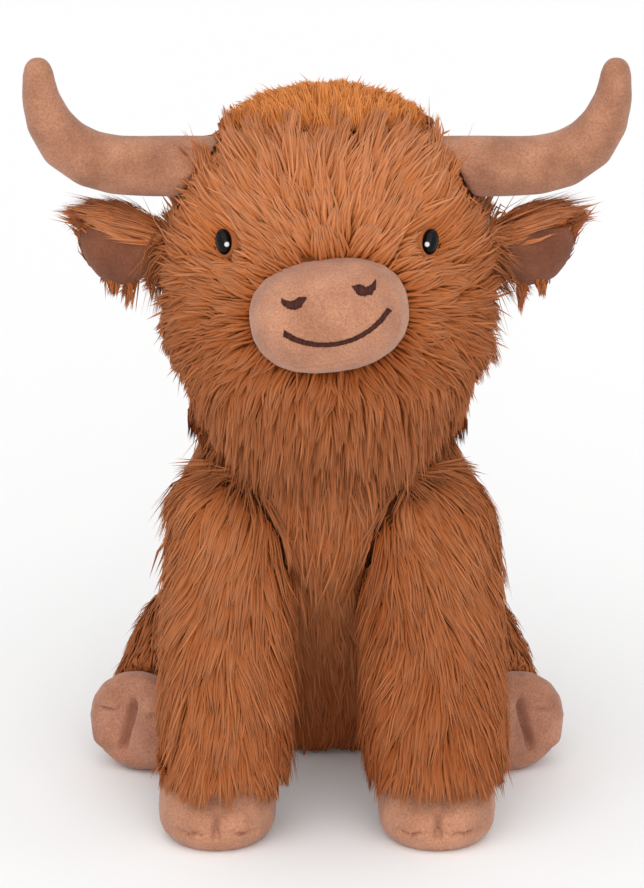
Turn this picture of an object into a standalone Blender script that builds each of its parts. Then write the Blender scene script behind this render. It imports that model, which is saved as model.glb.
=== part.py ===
"""Seated stuffed highland cow: coats, velour pieces, filling and safety eyes.

The toy faces -Y and its left is +X. It sits on z = 0, with the origin below the middle of its
bounding box. Every soft form is a row of rounded sections drawn along an axis or a spine, and a
small form is cut where a larger one holds it. Each limb's empty stands on its seam, the limb's hinge.
"""
import copy
import math

import bmesh
import bpy
from mathutils import Matrix, Vector

MM = 0.001
X = Vector((1, 0, 0))
Y = Vector((0, 1, 0))
Z = Vector((0, 0, 1))
SIDES = {"left": 1, "right": -1}

# Gaps between pieces, walls of the skins, and how far a cutter runs past what it cuts
SEAM_GAP = 0.4 * MM
SWIVEL_GAP = 0.4 * MM
COAT_WALL = 8 * MM
LEG_COAT_WALL = 7 * MM
VELOUR_WALL = 2.5 * MM
OVERRUN = 20 * MM
MERGE_DISTANCE = 0.001 * MM

# How far the plain blocks reach that cut a whole side away
REACH = 230 * MM

# Torso, from the seat to the ball of the neck
NECK_RADIUS = 60 * MM
NECK_HEIGHT = 178 * MM
NECK_Y = 5 * MM
NECK_HOLE_RADIUS = 28 * MM
TORSO_HALF_WIDTH = 76 * MM
TORSO_HALF_DEPTH = 60 * MM
SEAT_Y = 57 * MM
# Shares of the neck's height, of the half width, of the half depth, and of the lean to the neck
TORSO_SHARES = (
    (0.0, 0.66, 0.62, 0.0),
    (0.055, 0.76, 0.74, 0.02),
    (0.20, 0.82, 0.85, 0.13),
    (0.43, 0.87, 0.96, 0.38),
    (0.62, 0.95, 1.02, 0.68),
    (0.775, 1.0, 1.02, 0.92),
    (0.87, 0.94, 0.96, 1.0),
)
NECK_WAIST_SHARE = 0.93

# Seat panel and the pellet bag that rests on it
SEAT_PANEL_HALF_WIDTH = 42 * MM
SEAT_PANEL_HALF_DEPTH = 30 * MM
SEAT_PANEL_THICKNESS = 2 * MM
PELLET_BAG_HEIGHT = 26 * MM
PELLET_BAG_MARGIN = 2 * MM
PELLET_BAG_ROUND_SHARE = 0.9

# Head, from the rim round the neck to the crown
HEAD_RIM_RISE = 11 * MM
HEAD_HEIGHT = 161 * MM
HEAD_HALF_WIDTH = 79.5 * MM
HEAD_HALF_DEPTH = 75 * MM
HEAD_FORWARD = 17 * MM
HEAD_TOP_ROUND = 50 * MM
HEAD_SQUARENESS_SHARE = 2.15
# Shares of the head's height, half width and half depth, and of how far it sits forward
HEAD_SHARES = (
    (0.0, 0.84, 0.86, 0.10),
    (0.10, 0.925, 0.93, 0.60),
    (0.30, 1.0, 1.0, 1.0),
    (0.50, 0.99, 1.0, 0.95),
    (0.69, 0.92, 0.945, 0.70),
    (1.0, 0.90, 0.90, 0.20),
)

# Tuft on the crown
CROWN_HALF_WIDTH = 55 * MM
CROWN_HALF_DEPTH = 45 * MM
CROWN_HALF_HEIGHT = 29 * MM
CROWN_SINK = 22 * MM

# Muzzle
MUZZLE_HALF_WIDTH = 37.2 * MM
MUZZLE_HALF_HEIGHT = 26.5 * MM
MUZZLE_RISE = 87.5 * MM
MUZZLE_OFFSET = 1 * MM
MUZZLE_PROUD = 26 * MM
MUZZLE_ROUND = 27 * MM
MUZZLE_ROLL_ANGLE = math.radians(7.5)
MUZZLE_PITCH_ANGLE = math.radians(15)
MUZZLE_SQUARENESS_SHARE = 2.4
MUZZLE_ROOT = 22 * MM

# Embroidery on the muzzle
THREAD_THICKNESS = 0.9 * MM
NOSTRIL_HALF_WIDTH = 6 * MM
NOSTRIL_HEIGHT = 6 * MM
NOSTRIL_SPACING = 35.4 * MM
NOSTRIL_RISE = 16 * MM
# Shares of a nostril's half width and height along its brow, from the inner end to the outer
NOSTRIL_BROW_SHARES = (
    (-0.45, -0.12),
    (0.1, -0.20),
    (0.6, 0.05),
)
NOSTRIL_CORNER_SHARE = 0.35
NOSTRIL_CORNER_POWER_SHARE = 4
SMILE_HALF_WIDTH = 27.5 * MM
SMILE_DEPTH = 12.5 * MM
SMILE_DROP = 12 * MM
SMILE_LINE = 2.1 * MM
SMILE_CURVE_SHARE = 2.3

# Safety eyes
EYE_HALF_WIDTH = 5.2 * MM
EYE_HALF_HEIGHT = 7 * MM
EYE_DOME = 4.6 * MM
EYE_RIM = 1 * MM
EYE_PROUD = 2.6 * MM
EYE_SPACING = 99 * MM
EYE_RISE = 117.5 * MM
EYE_SHANK_RADIUS = 2 * MM
EYE_SHANK_TAIL = 2.5 * MM
WASHER_RADIUS = 7.5 * MM
WASHER_THICKNESS = 1.6 * MM

# Horns
HORN_REACH = 139.5 * MM
HORN_RISE = 141.5 * MM
HORN_LIFT = 57 * MM
HORN_RADIUS = 15.4 * MM
HORN_TIP_RADIUS = 6.6 * MM
HORN_Y = -9 * MM
HORN_FORWARD = 11 * MM
# Shares of the reach, of the lift, and of the way from the base radius to the tip radius
HORN_SHARES = (
    (0.34, -0.01, 0.0),
    (0.52, 0.0, 0.02),
    (0.69, 0.0, 0.06),
    (0.82, 0.06, 0.12),
    (0.925, 0.235, 0.26),
    (0.98, 0.50, 0.53),
    (1.0, 0.76, 0.80),
    (1.0, 1.0, 1.0),
)

# Ears
EAR_RISE = 99 * MM
EAR_Y = -4 * MM
EAR_BALL_RADIUS = 11.5 * MM
EAR_LENGTH = 46 * MM
EAR_HALF_HEIGHT = 20 * MM
EAR_HALF_THICKNESS = 9 * MM
EAR_TIP_LIFT = 4 * MM
EAR_TIP_ROUND = 14 * MM
# Shares of the length, of the half height, and of the half thickness
EAR_SHARES = (
    (0.22, 0.64, 1.0),
    (0.54, 1.0, 1.0),
    (0.78, 0.94, 0.90),
    (1.0, 0.76, 0.75),
)
EAR_FLOP_ANGLE = math.radians(25)
EAR_LINING_START_SHARE = 0.24
EAR_LINING_END_SHARE = 0.94
EAR_LINING_HEIGHT_SHARE = 0.74
EAR_LINING_ROUND_SHARE = 0.32
EAR_LINING_SQUARENESS_SHARE = 4
EAR_LINING_PROUD = 1.5 * MM

# Front legs
SHOULDER_SPACING = 100 * MM
SHOULDER_HEIGHT = 136 * MM
SHOULDER_Y = -30 * MM
SHOULDER_RADIUS = 34 * MM
FRONT_FOOT_SPACING = 108 * MM
FRONT_FOOT_Y = -86 * MM
FRONT_LEG_HALF_WIDTH = 34.5 * MM
FRONT_LEG_HALF_DEPTH = 35 * MM
# Shares of the way from the shoulder to the hoof: down, across and forward, and of the half sizes
FRONT_LEG_SHARES = (
    (0.40, 0.35, 0.36, 1.0),
    (0.73, 0.60, 0.72, 1.0),
    (1.0, 0.80, 0.90, 0.95),
)
SLEEVE_HOLE_RADIUS = 16 * MM
FRONT_LEG_SWING_ANGLE = math.radians(35)

# Hooves: the sole's outline, the height to the coat, and the cleft between the toes
HOOF_HALF_WIDTH = 29.2 * MM
HOOF_HALF_DEPTH = 29.5 * MM
HOOF_HEIGHT = 33 * MM
HOOF_LEAN = 6 * MM
HOOF_WALL = 5 * MM
CLEFT_HALF_WIDTH = 2.8 * MM
CLEFT_DEPTH = 3.6 * MM
CLEFT_HALF_LENGTH = 13 * MM
# Shares of the hoof's height, of its half sizes, and of the lean at its top
HOOF_SHARES = (
    (0.0, 0.80, 0.0),
    (0.07, 0.90, 0.0),
    (0.22, 0.985, 0.02),
    (0.50, 1.0, 0.18),
    (0.78, 0.96, 0.55),
    (1.0, 0.92, 1.0),
)

# Hind legs
HIP_X = 70 * MM
HIP_Y = 52 * MM
HAUNCH_HALF_WIDTH = 30 * MM
HAUNCH_RADIUS = 41 * MM
HIP_FACE_X = 60.5 * MM
HIP_CLEARANCE_RADIUS = 46 * MM
HIND_LEG_SPLAY_ANGLE = math.radians(27)
HIND_LEG_LENGTH = 41 * MM
HIND_HOOF_SHARE = 0.90
HIND_HOOF_HEIGHT = 27 * MM
FLAT_DEPTH = 0.5 * MM
# Shares of the way along the leg, and of the half width and half height of the haunch
HIND_LEG_SHARES = (
    (0.45, 0.97, 0.86),
    (0.80, 0.90, 0.69),
    (1.0, 0.86, 0.62),
)

# Tail
TAIL_HEIGHT = 72 * MM
TAIL_RADIUS = 5.5 * MM
TAIL_BALL_RADIUS = 6 * MM
TAIL_LENGTH = 36 * MM
TAIL_TUFT_LENGTH = 33 * MM
TAIL_TUFT_HALF_WIDTH = 11 * MM
TAIL_TUFT_HALF_DEPTH = 6 * MM
TAIL_KNEE_DROP = 9 * MM
TAIL_REACH = 12.5 * MM
TAIL_TUFT_SHARES = (0, 0.4, 1)
TAIL_TUFT_TOP_SHARE = 0.3
TAIL_TUFT_TIP_SHARE = 0.55

# Facets round the forms
BIG_SIDES = 24
LIMB_SIDES = 16
SMALL_SIDES = 12
BALL_SIDES = 22
ROUND_RINGS = 4
SWEEP_STEPS = 3
SMOOTH_ANGLE = math.radians(50)

# Colours of the pieces
RUST = (0.37, 0.128, 0.045)
CROWN_RUST = (0.46, 0.135, 0.03)
TAN = (0.54, 0.275, 0.16)
LINING_TAN = (0.25, 0.10, 0.055)
BROWN = (0.085, 0.02, 0.012)
BLACK = (0.006, 0.005, 0.005)
FIBRE = (0.86, 0.85, 0.82)
CANVAS = (0.42, 0.22, 0.11)
NYLON = (0.75, 0.75, 0.73)


def clear_scene():
    """Remove the objects that a new file starts with."""
    for old in list(bpy.data.objects):
        bpy.data.objects.remove(old, do_unlink=True)


def finish_of(name, colour, roughness):
    """Return the material of one finish, made once."""
    known = bpy.data.materials.get(name)
    if known:
        return known
    finish = bpy.data.materials.new(name)
    finish.use_nodes = True
    shader = finish.node_tree.nodes["Principled BSDF"]
    shader.inputs["Base Color"].default_value = (*colour, 1)
    shader.inputs["Roughness"].default_value = roughness
    shader.inputs["Metallic"].default_value = 0
    finish.diffuse_color = (*colour, 1)
    return finish


def coat():
    return finish_of("long_pile_coat", RUST, 0.95)


def velour():
    return finish_of("tan_velour", TAN, 0.9)


def fibre():
    return finish_of("fibre_filling", FIBRE, 1.0)


def steady_curve(knots, values, place):
    """Read values at a place between knots, with a smooth curve that never overshoots them."""
    if place <= knots[0]:
        return values[0]
    if place >= knots[-1]:
        return values[-1]
    spans = [after - before for before, after in zip(knots, knots[1:])]
    rates = [(after - before) / span for before, after, span in zip(values, values[1:], spans)]
    slopes = [rates[0]]
    for before, after in zip(rates, rates[1:]):
        slopes.append(0.0 if before * after <= 0 else 2 * before * after / (before + after))
    slopes.append(rates[-1])
    index = max(i for i, knot in enumerate(knots[:-1]) if knot <= place)
    share = (place - knots[index]) / spans[index]
    start, end = values[index], values[index + 1]
    rise_start, rise_end = slopes[index] * spans[index], slopes[index + 1] * spans[index]
    cube, square = share ** 3, share ** 2
    return (start * (2 * cube - 3 * square + 1) + rise_start * (cube - 2 * square + share)
            + end * (3 * square - 2 * cube) + rise_end * (cube - square))


class Form:
    """A soft form: rounded sections along an axis, or along a bent spine where axis is None.

    A station is (centre, half size across, half size of the other way). An end is drawn round over
    its round length, and is flat where that is zero.
    """

    def __init__(self, stations, across, axis=None, sides=LIMB_SIDES, rings=7,
                 round_start=0.0, round_end=0.0, squareness=2.0):
        self.centres = [Vector(centre) for centre, _, _ in stations]
        self.halves = [(half, other) for _, half, other in stations]
        self.across = Vector(across).normalized()
        self.axis = Vector(axis).normalized() if axis else None
        self.sides = sides
        self.rings = rings
        self.round_start = round_start
        self.round_end = round_end
        self.squareness = squareness
        self.knots = [0.0]
        for before, after in zip(self.centres, self.centres[1:]):
            step = after - before
            self.knots.append(self.knots[-1] + (step.dot(self.axis) if self.axis else step.length))
        self.length = self.knots[-1]

    def plainer(self):
        """Return the same form with fewer facets, for the hollow and the filling inside it."""
        inner = copy.copy(self)
        inner.sides = self.sides * 2 // 3
        inner.rings = (self.rings + 1) * 2 // 3
        return inner

    def centre(self, place):
        """Return the middle of the section at a place along the form."""
        point = Vector([steady_curve(self.knots, [c[i] for c in self.centres], place) for i in range(3)])
        beyond = place - min(max(place, 0.0), self.length)
        return point + self.heading(place) * beyond if beyond else point

    def heading(self, place):
        """Return the direction that the section at a place faces."""
        if self.axis:
            return self.axis
        reach = self.length / (4 * self.rings)
        low = max(place - reach, 0.0)
        high = min(place + reach, self.length)
        low = min(low, high - reach)
        ends = [Vector([steady_curve(self.knots, [c[i] for c in self.centres], p) for i in range(3)])
                for p in (low, high)]
        return (ends[1] - ends[0]).normalized()

    def half_sizes(self, place, inset, start, end):
        """Return the two half sizes of a section, drawn in by the inset and by the round ends."""
        halves = [steady_curve(self.knots, [h[i] for h in self.halves], place) - inset for i in range(2)]
        fade = 1.0
        if self.round_start and place < start + self.round_start - inset:
            fade *= self.roundness((place - start) / (self.round_start - inset))
        if self.round_end and place > end - self.round_end + inset:
            fade *= self.roundness((end - place) / (self.round_end - inset))
        return [half * fade for half in halves]

    @staticmethod
    def roundness(share):
        """Return a quarter circle's height at a share of its run."""
        return math.sqrt(max(0.0, 1 - (1 - share) ** 2))

    def ring_places(self, inset, start, end):
        """Return where the rings lie, closer together round the ends, and alike at every inset."""
        quarters = [1 - math.cos(math.pi / 2 * i / ROUND_RINGS) for i in range(1, ROUND_RINGS)]
        first, last = self.round_start, self.length - self.round_end
        evenly = [first + (last - first) * i / self.rings for i in range(self.rings + 1)]
        places = [place for place in evenly if start < place < end]
        if self.round_start:
            run = first - start
            places = [start + run * share for share in quarters] + places
        else:
            places = [start] + places
        if self.round_end:
            run = end - last
            places += [end - run * share for share in reversed(quarters)]
        else:
            places.append(end)
        return places

    def frame_at(self, place):
        """Return the centre, the two directions across the section, and its heading."""
        heading = self.heading(place)
        side = (self.across - heading * self.across.dot(heading)).normalized()
        return self.centre(place), side, heading.cross(side), heading

    def mesh(self, inset=0.0, start_inset=None, end_inset=None):
        """Return the form's closed mesh, drawn in by the inset, or swollen where it is negative."""
        start = inset if start_inset is None else start_inset
        end = self.length - (inset if end_inset is None else end_inset)
        bm = bmesh.new()
        rings = []
        for place in self.ring_places(inset, start, end):
            middle, side, other, heading = self.frame_at(place)
            half, other_half = self.half_sizes(place, inset, start, end)
            ring = bmesh.ops.create_circle(bm, segments=self.sides, radius=1)["verts"]
            for vert in ring:
                across, along = vert.co.x, vert.co.y
                power = self.squareness
                stretch = (abs(across) ** power + abs(along) ** power) ** (-1 / power)
                vert.co = middle + side * (across * half * stretch) + other * (along * other_half * stretch)
            rings.append(ring)
        for lower, upper in zip(rings, rings[1:]):
            bmesh.ops.bridge_loops(bm, edges=ring_edges(lower) + ring_edges(upper))
        self.cap(bm, rings[0], start, bool(self.round_start))
        self.cap(bm, rings[-1], end, bool(self.round_end))
        bmesh.ops.recalc_face_normals(bm, faces=bm.faces)
        bmesh.ops.triangulate(bm, faces=bm.faces[:], quad_method="FIXED")
        return bm

    def cap(self, bm, ring, place, is_round):
        """Close an end, with a pole at its tip where the end is round."""
        lid = bmesh.ops.contextual_create(bm, geom=ring_edges(ring))["faces"]
        if is_round:
            pole = bmesh.ops.poke(bm, faces=lid)["verts"][0]
            pole.co = self.centre(place)

    def front_at(self, across, place):
        """Return the point on the side of the form that faces against its other way."""
        middle, side, other, _ = self.frame_at(place)
        half, other_half = self.half_sizes(place, 0.0, 0.0, self.length)
        share = min(abs(across - middle.dot(side)) / half, 1.0)
        depth = other_half * (1 - share ** self.squareness) ** (1 / self.squareness)
        return middle + side * (across - middle.dot(side)) - other * depth

    def front_normal(self, across, place):
        """Return the outward direction at the point that front_at gives."""
        step = self.length / 200
        run = self.front_at(across + step, place) - self.front_at(across - step, place)
        rise = self.front_at(across, place + step) - self.front_at(across, place - step)
        return run.cross(rise).normalized()


def ring_edges(ring):
    """Return the edges that join a ring's own vertices."""
    own = set(ring)
    return list({edge for vert in ring for edge in vert.link_edges if edge.other_vert(vert) in own})


def shrunk(bm):
    """Draw a closed mesh in by the seam gap, parallel to itself, and return it."""
    bm.normal_update()
    steps = [vert.normal * (vert.calc_shell_factor() * SEAM_GAP) for vert in bm.verts]
    for vert, step in zip(bm.verts, steps):
        vert.co -= step
    return bm


def ball(centre, radius, sides, encloses=True):
    """Return a sphere whose flat faces enclose the radius, or else whose corners lie on it."""
    bm = bmesh.new()
    reach = radius / (math.cos(math.pi / sides) ** 2) if encloses else radius
    bmesh.ops.create_uvsphere(bm, u_segments=sides, v_segments=sides // 2, radius=reach,
                              matrix=Matrix.Translation(centre))
    return bm


def swept_room(name, form, root, radius, axis, sweep, keep_rest):
    """Return cutters that clear a limb of the form beside it over the limb's whole sweep.

    Each is the form, swollen by the seam gap and turned back about the limb's root, less the root's
    own ball, which turns in its seat.
    """
    socket = put(f"cut_root_{name}", ball(root, radius, BALL_SIDES, encloses=False))
    cutters = []
    for step in range(0 if keep_rest else 1, SWEEP_STEPS + 1):
        back = Matrix.Rotation(-sweep * step / SWEEP_STEPS, 4, axis)
        room = form.mesh(-SEAM_GAP)
        place = Matrix.Translation(root) @ back @ Matrix.Translation(-root)
        bmesh.ops.transform(room, matrix=place, verts=room.verts)
        cutters.append(cut(put(f"cut_sweep_{name}_{step}", room), socket))
    return cutters


def rod(start, end, radius, sides):
    """Return a closed cylinder between two points."""
    bm = bmesh.new()
    run = end - start
    turn = run.to_track_quat("Z", "Y").to_matrix().to_4x4()
    bmesh.ops.create_cone(bm, cap_ends=True, segments=sides, radius1=radius, radius2=radius,
                          depth=run.length, matrix=Matrix.Translation((start + end) / 2) @ turn)
    return bm


def block(low, high):
    """Return a box between two corners."""
    bm = bmesh.new()
    size = Vector(high) - Vector(low)
    middle = (Vector(high) + Vector(low)) / 2
    bmesh.ops.create_cube(bm, size=1, matrix=Matrix.Translation(middle) @ Matrix.Diagonal((*size, 1)))
    return bm


def prism(outline, place, depth):
    """Return an outline in a matrix's own plane, extruded along its third direction."""
    bm = bmesh.new()
    verts = [bm.verts.new(place @ Vector((across, up, -depth / 2))) for across, up in outline]
    face = bm.faces.new(verts)
    pushed = bmesh.ops.extrude_face_region(bm, geom=[face])["geom"]
    moved = [item for item in pushed if isinstance(item, bmesh.types.BMVert)]
    bmesh.ops.translate(bm, verts=moved, vec=place.to_3x3() @ Vector((0, 0, depth)))
    bmesh.ops.recalc_face_normals(bm, faces=bm.faces)
    return bm


def turned(profile, place, sides):
    """Return a profile of (radius, height) points spun round a matrix's third direction."""
    bm = bmesh.new()
    verts = [bm.verts.new((radius, 0, height)) for radius, height in profile]
    closed = profile[0][0] > 0
    pairs = list(zip(verts, verts[1:])) + ([(verts[-1], verts[0])] if closed else [])
    edges = [bm.edges.new(pair) for pair in pairs]
    bmesh.ops.spin(bm, geom=verts + edges, cent=(0, 0, 0), axis=(0, 0, 1), angle=math.tau,
                   steps=sides, use_merge=True)
    bmesh.ops.remove_doubles(bm, verts=bm.verts, dist=MERGE_DISTANCE)
    bmesh.ops.recalc_face_normals(bm, faces=bm.faces)
    bmesh.ops.transform(bm, matrix=place, verts=bm.verts)
    return bm


def put(name, bm, material=None):
    """Make an object of a mesh, and free the mesh that it came from."""
    mesh = bpy.data.meshes.new(name)
    bm.to_mesh(mesh)
    bm.free()
    mesh.shade_smooth()
    mesh.set_sharp_from_angle(angle=SMOOTH_ANGLE)
    made = bpy.data.objects.new(name, mesh)
    bpy.context.scene.collection.objects.link(made)
    if material:
        mesh.materials.append(material)
    else:
        made.hide_render = True
        made.display_type = "WIRE"
    return made


def cut(piece, *cutters, operation="DIFFERENCE"):
    """Cut a piece with each cutter in turn, and return it."""
    for cutter in cutters:
        step = piece.modifiers.new(cutter.name, "BOOLEAN")
        step.operation = operation
        step.solver = "EXACT"
        step.object = cutter
    return piece


def hinge(name, place):
    """Return an empty on a seam's hinge."""
    pivot = bpy.data.objects.new(name, None)
    pivot.location = place
    bpy.context.scene.collection.objects.link(pivot)
    return pivot


def carry(pivot, *pieces):
    """Put pieces on a hinge's empty, with their own origins on it."""
    for piece in pieces:
        piece.data.transform(Matrix.Translation(-pivot.location))
        piece.parent = pivot


def torso_form():
    """Return the body's form, which ends in the ball of the neck."""
    stations = []
    for height, width, depth, lean in TORSO_SHARES:
        middle = SEAT_Y + (NECK_Y - SEAT_Y) * lean
        stations.append(((0, middle, NECK_HEIGHT * height),
                         TORSO_HALF_WIDTH * width, TORSO_HALF_DEPTH * depth))
    waist = NECK_HEIGHT * NECK_WAIST_SHARE
    waist_radius = math.sqrt(NECK_RADIUS ** 2 - (NECK_HEIGHT - waist) ** 2)
    stations.append(((0, NECK_Y, waist), waist_radius, waist_radius))
    for height in (NECK_HEIGHT, NECK_HEIGHT + NECK_RADIUS):
        stations.append(((0, NECK_Y, height), NECK_RADIUS, NECK_RADIUS))
    return Form(stations, across=X, axis=Z, sides=BIG_SIDES, rings=9, round_end=NECK_RADIUS)


def neck_centre():
    return Vector((0, NECK_Y, NECK_HEIGHT))


def head_form():
    """Return the head's form, from its rim round the neck to the crown."""
    rim = NECK_HEIGHT + HEAD_RIM_RISE
    stations = [((0, NECK_Y - HEAD_FORWARD * forward, rim + HEAD_HEIGHT * height),
                 HEAD_HALF_WIDTH * width, HEAD_HALF_DEPTH * depth)
                for height, width, depth, forward in HEAD_SHARES]
    return Form(stations, across=X, axis=Z, sides=BIG_SIDES, rings=6, round_end=HEAD_TOP_ROUND,
                squareness=HEAD_SQUARENESS_SHARE)


def muzzle_place(head):
    """Return the muzzle's frame: across, up and forward, on the front of the head."""
    turn = Matrix.Rotation(-MUZZLE_PITCH_ANGLE, 3, "X") @ Matrix.Rotation(-MUZZLE_ROLL_ANGLE, 3, "Y")
    place = Matrix((turn @ X, turn @ Z, turn @ -Y)).transposed().to_4x4()
    place.translation = head.front_at(MUZZLE_OFFSET, MUZZLE_RISE - HEAD_RIM_RISE)
    return place


def muzzle_form(place):
    """Return the muzzle's form, from inside the head to its rounded front."""
    stations = [(place @ Vector((0, 0, reach)), MUZZLE_HALF_WIDTH, MUZZLE_HALF_HEIGHT)
                for reach in (-MUZZLE_ROOT, 0, MUZZLE_PROUD)]
    return Form(stations, across=place.to_3x3() @ X, axis=place.to_3x3() @ Z, sides=BIG_SIDES, rings=1,
                round_end=MUZZLE_ROUND, squareness=MUZZLE_SQUARENESS_SHARE)


def shoulder(side):
    return Vector((side * SHOULDER_SPACING / 2, SHOULDER_Y, SHOULDER_HEIGHT))


def front_leg_form(side):
    """Return a front leg's form, from the ball of its shoulder to the top of its hoof."""
    top = shoulder(side)
    foot = Vector((side * FRONT_FOOT_SPACING / 2, FRONT_FOOT_Y, HOOF_HEIGHT + SEAM_GAP))
    stations = [(top + Z * SHOULDER_RADIUS, SHOULDER_RADIUS, SHOULDER_RADIUS),
                (top, SHOULDER_RADIUS, SHOULDER_RADIUS)]
    for down, across, forward, size in FRONT_LEG_SHARES:
        way = foot - top
        centre = top + Vector((way.x * across, way.y * forward, way.z * down))
        stations.append((centre, FRONT_LEG_HALF_WIDTH * size, FRONT_LEG_HALF_DEPTH * size))
    return Form(stations, across=X * -side, axis=-Z, rings=5, round_start=SHOULDER_RADIUS)


def hoof_form(sole, heading, toe, size=1.0, height=HOOF_HEIGHT):
    """Return a hoof's form from its sole up, with its toes towards the toe direction."""
    across = heading.cross(toe)
    stations = [(sole + heading * (height * up) - toe * (HOOF_LEAN * lean),
                 HOOF_HALF_WIDTH * size * half, HOOF_HALF_DEPTH * size * half)
                for up, half, lean in HOOF_SHARES]
    return Form(stations, across=across, axis=heading, rings=5)


def cleft(sole, heading, toe, size=1.0):
    """Return the cutter of the cleft, which runs up the toes and back along the sole."""
    bm = bmesh.new()
    bmesh.ops.create_uvsphere(bm, u_segments=12, v_segments=8, radius=1)
    rim = sole + toe * (HOOF_HALF_DEPTH * size + CLEFT_HALF_WIDTH) + heading * (CLEFT_HALF_LENGTH / 3)
    depth = CLEFT_DEPTH + CLEFT_HALF_WIDTH
    frame = Matrix((heading.cross(toe) * CLEFT_HALF_WIDTH, toe * depth, heading * CLEFT_HALF_LENGTH))
    bmesh.ops.transform(bm, matrix=Matrix.Translation(rim) @ frame.transposed().to_4x4(), verts=bm.verts)
    bmesh.ops.recalc_face_normals(bm, faces=bm.faces)
    return bm


def build_torso(form):
    """Build the body's coat, its filling, the pellet bag and the seat panel."""
    inner = form.plainer()
    shoulders, hips = [], []
    for name, side in SIDES.items():
        socket = ball(shoulder(side), SHOULDER_RADIUS + SWIVEL_GAP, BALL_SIDES)
        shoulders.append(put(f"cut_shoulder_{name}", socket))
        face = Vector((side * HIP_FACE_X, HIP_Y, hip_height()))
        room = rod(face, face + X * (side * TORSO_HALF_WIDTH), HIP_CLEARANCE_RADIUS, BALL_SIDES)
        hips.append(put(f"cut_hip_{name}", room))
    hollow = put("cut_torso_hollow", inner.mesh(COAT_WALL))
    neck_hole = put("cut_neck_hole", rod(neck_centre(), neck_centre() + Z * (NECK_RADIUS + OVERRUN),
                                         NECK_HOLE_RADIUS, LIMB_SIDES))
    seat_hole = oval(SEAT_PANEL_HALF_WIDTH + SEAM_GAP, SEAT_PANEL_HALF_DEPTH + SEAM_GAP,
                     -OVERRUN, COAT_WALL + OVERRUN / 4)
    seat_hole = put("cut_seat_hole", seat_hole)
    tail_seat = ball(tail_root(form), TAIL_BALL_RADIUS + SWIVEL_GAP, SMALL_SIDES)
    tail_seat = put("cut_tail_seat", tail_seat)
    torso = put("torso", form.mesh(), coat())
    cut(torso, hollow, neck_hole, seat_hole, *shoulders, *hips, tail_seat)

    panel = oval(SEAT_PANEL_HALF_WIDTH, SEAT_PANEL_HALF_DEPTH, 0.0, SEAT_PANEL_THICKNESS)
    put("seat_panel", panel, finish_of("base_cloth", CANVAS, 0.9))

    bag = pellet_bag_form()
    put("pellet_bag", bag.mesh(), finish_of("bag_cloth", CANVAS, 0.85))
    bag_room = put("cut_pellet_bag", bag.mesh(-SEAM_GAP))
    filling = put("torso_stuffing", shrunk(inner.mesh(COAT_WALL)), fibre())
    cut(filling, bag_room, *shoulders)


def oval(half_width, half_depth, low, high):
    """Return a flat-ended oval slab under the seat's middle."""
    stations = [((0, SEAT_Y, height), half_width, half_depth) for height in (low, high)]
    return Form(stations, across=X, axis=Z, sides=BIG_SIDES, rings=1).mesh()


def pellet_bag_form():
    """Return the bag that rests on the seat panel, inside its hole and the filling above."""
    low = SEAT_PANEL_THICKNESS + SEAM_GAP
    half_width = SEAT_PANEL_HALF_WIDTH - PELLET_BAG_MARGIN
    half_depth = SEAT_PANEL_HALF_DEPTH - PELLET_BAG_MARGIN
    stations = [((0, SEAT_Y, height), half_width, half_depth) for height in (low, low + PELLET_BAG_HEIGHT)]
    round_length = PELLET_BAG_HEIGHT / 2 * PELLET_BAG_ROUND_SHARE
    return Form(stations, across=X, axis=Z, sides=LIMB_SIDES, rings=1,
                round_start=round_length, round_end=round_length)


def hip_height():
    return HAUNCH_RADIUS - FLAT_DEPTH


def tail_root(form):
    """Return where the tail is sewn to the back of the torso."""
    front = form.front_at(0.0, TAIL_HEIGHT)
    middle = form.centre(TAIL_HEIGHT)
    return Vector((0, 2 * middle.y - front.y, TAIL_HEIGHT))


def build_head(form, muzzle_frame):
    """Build the head's coat, filling, crown, muzzle, embroidery and eyes on the nod hinge."""
    pivot = hinge("head_nod", neck_centre())
    socket = put("cut_neck_socket", ball(neck_centre(), NECK_RADIUS + SWIVEL_GAP, BALL_SIDES))
    inner = form.plainer()
    hollow = put("cut_head_hollow", inner.mesh(COAT_WALL, start_inset=-OVERRUN / 4))
    outside = put("cut_head_outside", form.mesh(-SEAM_GAP))
    ear_seats = [put(f"cut_ear_{name}", ball(ear_root(form, side), EAR_BALL_RADIUS + SWIVEL_GAP, LIMB_SIDES))
                 for name, side in SIDES.items()]
    head = cut(put("head", form.mesh(), coat()), hollow, socket, *ear_seats)
    filling = put("head_stuffing", shrunk(inner.mesh(COAT_WALL, start_inset=0.0)), fibre())
    cut(filling, socket, *ear_seats)

    horn_room = [put(f"cut_horn_room_{name}", horn_form(side).mesh(-SEAM_GAP))
                 for name, side in SIDES.items()]
    crown = put("crown_tuft", crown_mesh(form), finish_of("crown_pile", CROWN_RUST, 0.95))
    cut(crown, outside, *horn_room)
    carry(pivot, head, filling, crown)
    build_muzzle(pivot, muzzle_frame, outside)
    for name, side in SIDES.items():
        build_eye(pivot, name, side, form, head, filling)
        build_horn(pivot, name, side, outside)


def crown_mesh(form):
    """Return the tuft's mesh, a low dome half sunk in the top of the head."""
    bm = bmesh.new()
    top = form.centre(form.length) - Z * CROWN_SINK
    scale = Matrix.Diagonal((CROWN_HALF_WIDTH, CROWN_HALF_DEPTH, CROWN_HALF_HEIGHT, 1))
    bmesh.ops.create_uvsphere(bm, u_segments=LIMB_SIDES, v_segments=10, radius=1,
                              matrix=Matrix.Translation(top) @ scale)
    return bm


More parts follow.
